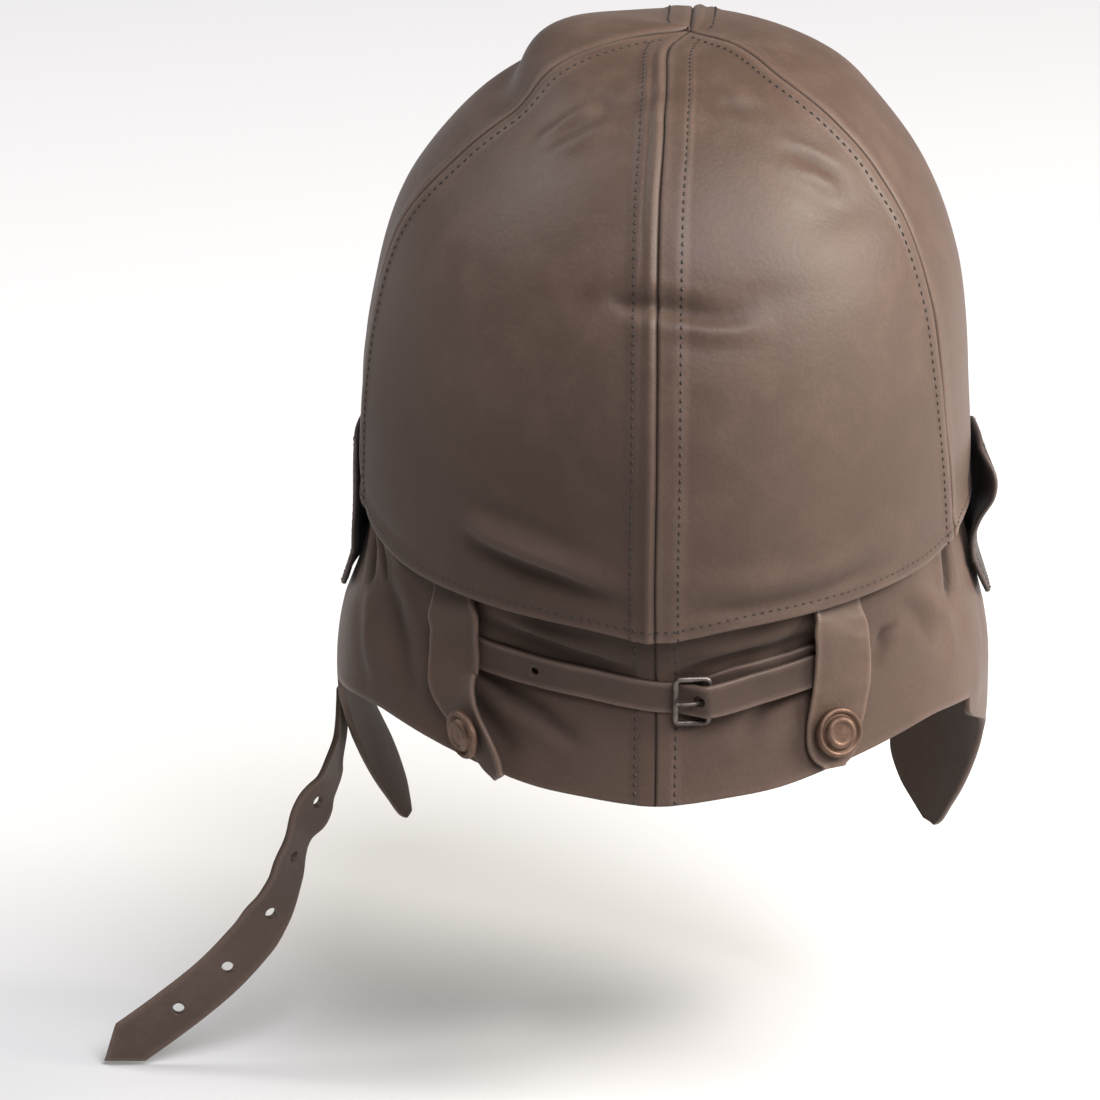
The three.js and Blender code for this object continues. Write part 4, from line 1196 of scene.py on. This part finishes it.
sheet = Sheet(
    chin_face, spaced(12, CHIN_WIDTH, STRAP_ROWS), spaced(150, CHIN_LENGTH), CHIN_THICKNESS, chin_relief,
    edge=0.6, facing=lambda u, v: chin_frame(v)[2],
)
made = sheet.make("chin_strap_leather", 0.5 * hump(np.minimum(sheet.left, sheet.right), 0.4, 0.6))
tools = []
for v in CHIN_HOLES:
    wide, ahead, out = chin_frame(np.array(v))
    tools.append((np.stack([wide, ahead, out], -1), chin_point(np.array(v)), HOLE_DIAMETER, 8))
dress(punch(made, tools), STRAP_HIDE, ["chin_strap"])


# Loop and chin buckle
def loop_place(v):
    turn = -LOOP_TURN + 0 * v
    z = lip(90) - NECK_DEPTH * (LOOP_TOP + v * LOOP_DROP)
    return turn, z, WALL * LOOP("off", v) + CHIN_THICKNESS, 0 * v


loop_face = strip(loop_place, CHIN_WIDTH * 0.8, straight)
sheet = Sheet(loop_face, spaced(9, 12, STRAP_ROWS), spaced(24, 14), CHIN_THICKNESS, None, edge=0.5)
made = sheet.make("chin_buckle_loop_leather", 0.4 * hump(np.minimum(sheet.left, sheet.right), 0.4, 0.6))
dress(made, STRAP_HIDE, ["chin_buckle_loop"])


def chin_buckle_face(u, v):
    turn = -LOOP_TURN + (u - 0.5) * 8
    return neck(turn, lip(90) - NECK_DEPTH * (LOOP_TOP + LOOP_DROP) + (0.5 - v) * CHIN_WIDTH, 0)


axes, place = frame_of(chin_buckle_face, 0.5, 0.5)
points, faces = tube_ring(CHIN_WIDTH * 1.5, CHIN_WIDTH * 1.2, CHIN_WIRE)
points = (points + [0, CHIN_WIDTH * 0.42, CLEAR * 2]) @ axes.T + place
dress(mesh_object("chin_buckle_metal", points, faces), STEEL, ["chin_buckle"])

dress(seams.make("seam_stitching"), THREAD)


# Camera as in the photograph, with the helmet's axis at height LIFT in the reference pixel
AZIMUTH = 182 * DEGREE
ELEVATION = 20 * DEGREE
DISTANCE = 2.0
PIXELS_PER_MM = 3.43
PHOTO_WIDTH = 1100
REFERENCE_PIXEL = (667, 520.5)
SENSOR = 36
reference = Vector((0, 0, LIFT * MM))
back = Vector((
    math.sin(AZIMUTH) * math.cos(ELEVATION),
    -math.cos(AZIMUTH) * math.cos(ELEVATION),
    math.sin(ELEVATION),
))
camera_data = bpy.data.cameras.new("camera")
camera_data.lens = PIXELS_PER_MM * DISTANCE / MM / PHOTO_WIDTH * SENSOR
camera_data.sensor_width = SENSOR
camera_data.shift_x = 0.5 - REFERENCE_PIXEL[0] / PHOTO_WIDTH
camera_data.shift_y = REFERENCE_PIXEL[1] / PHOTO_WIDTH - 0.5
camera = bpy.data.objects.new("camera", camera_data)
bpy.context.scene.collection.objects.link(camera)
camera.location = reference + back * DISTANCE
camera.rotation_euler = back.to_track_quat("Z", "Y").to_euler()
bpy.context.scene.camera = camera


# Floor and light
FLOOR_REACH = 80.0
floor_mesh = bpy.data.meshes.new("floor")
floor_level = cad_low.z - MM
corners = [(x * FLOOR_REACH, y * FLOOR_REACH, floor_level) for x, y in ((-1, -1), (1, -1), (1, 1), (-1, 1))]
floor_mesh.from_pydata(corners, [], [(0, 1, 2, 3)])
floor = bpy.data.objects.new("floor", floor_mesh)
bpy.context.scene.collection.objects.link(floor)
floor_mesh.materials.append(new_material("floor_paint", (0.6, 0.6, 0.6), 0.9)[0])

world = bpy.data.worlds.new("studio")
bpy.context.scene.world = world
world.use_nodes = True
sky = world.node_tree.nodes["Background"]
sky.inputs["Color"].default_value = (0.95, 0.97, 1.0, 1)
sky.inputs["Strength"].default_value = 0.1


def lamp(name, azimuth, elevation, distance, size, power, colour=(1, 1, 1), kind="AREA"):
    a, e = azimuth * DEGREE, elevation * DEGREE
    toward = Vector((math.sin(a) * math.cos(e), -math.cos(a) * math.cos(e), math.sin(e)))
    data = bpy.data.lights.new(name, kind)
    if kind == "SUN":
        data.angle = size
    else:
        data.size = size
    data.energy = power
    data.color = colour
    made = bpy.data.objects.new(name, data)
    bpy.context.scene.collection.objects.link(made)
    made.location = Vector((0, 0, -0.1)) + toward * distance
    made.rotation_euler = toward.to_track_quat("Z", "Y").to_euler()


lamp("warm", 264, 30, 1.5, 0.7, 44, (1.0, 0.94, 0.86))
lamp("rim", 80, 46, 1.6, 0.6, 12, (1.0, 0.98, 0.95))
lamp("key", 212, 52, 2.0, 34 * DEGREE, 3.5, (0.97, 0.96, 1.0), "SUN")
bpy.context.scene.view_settings.view_transform = "Standard"
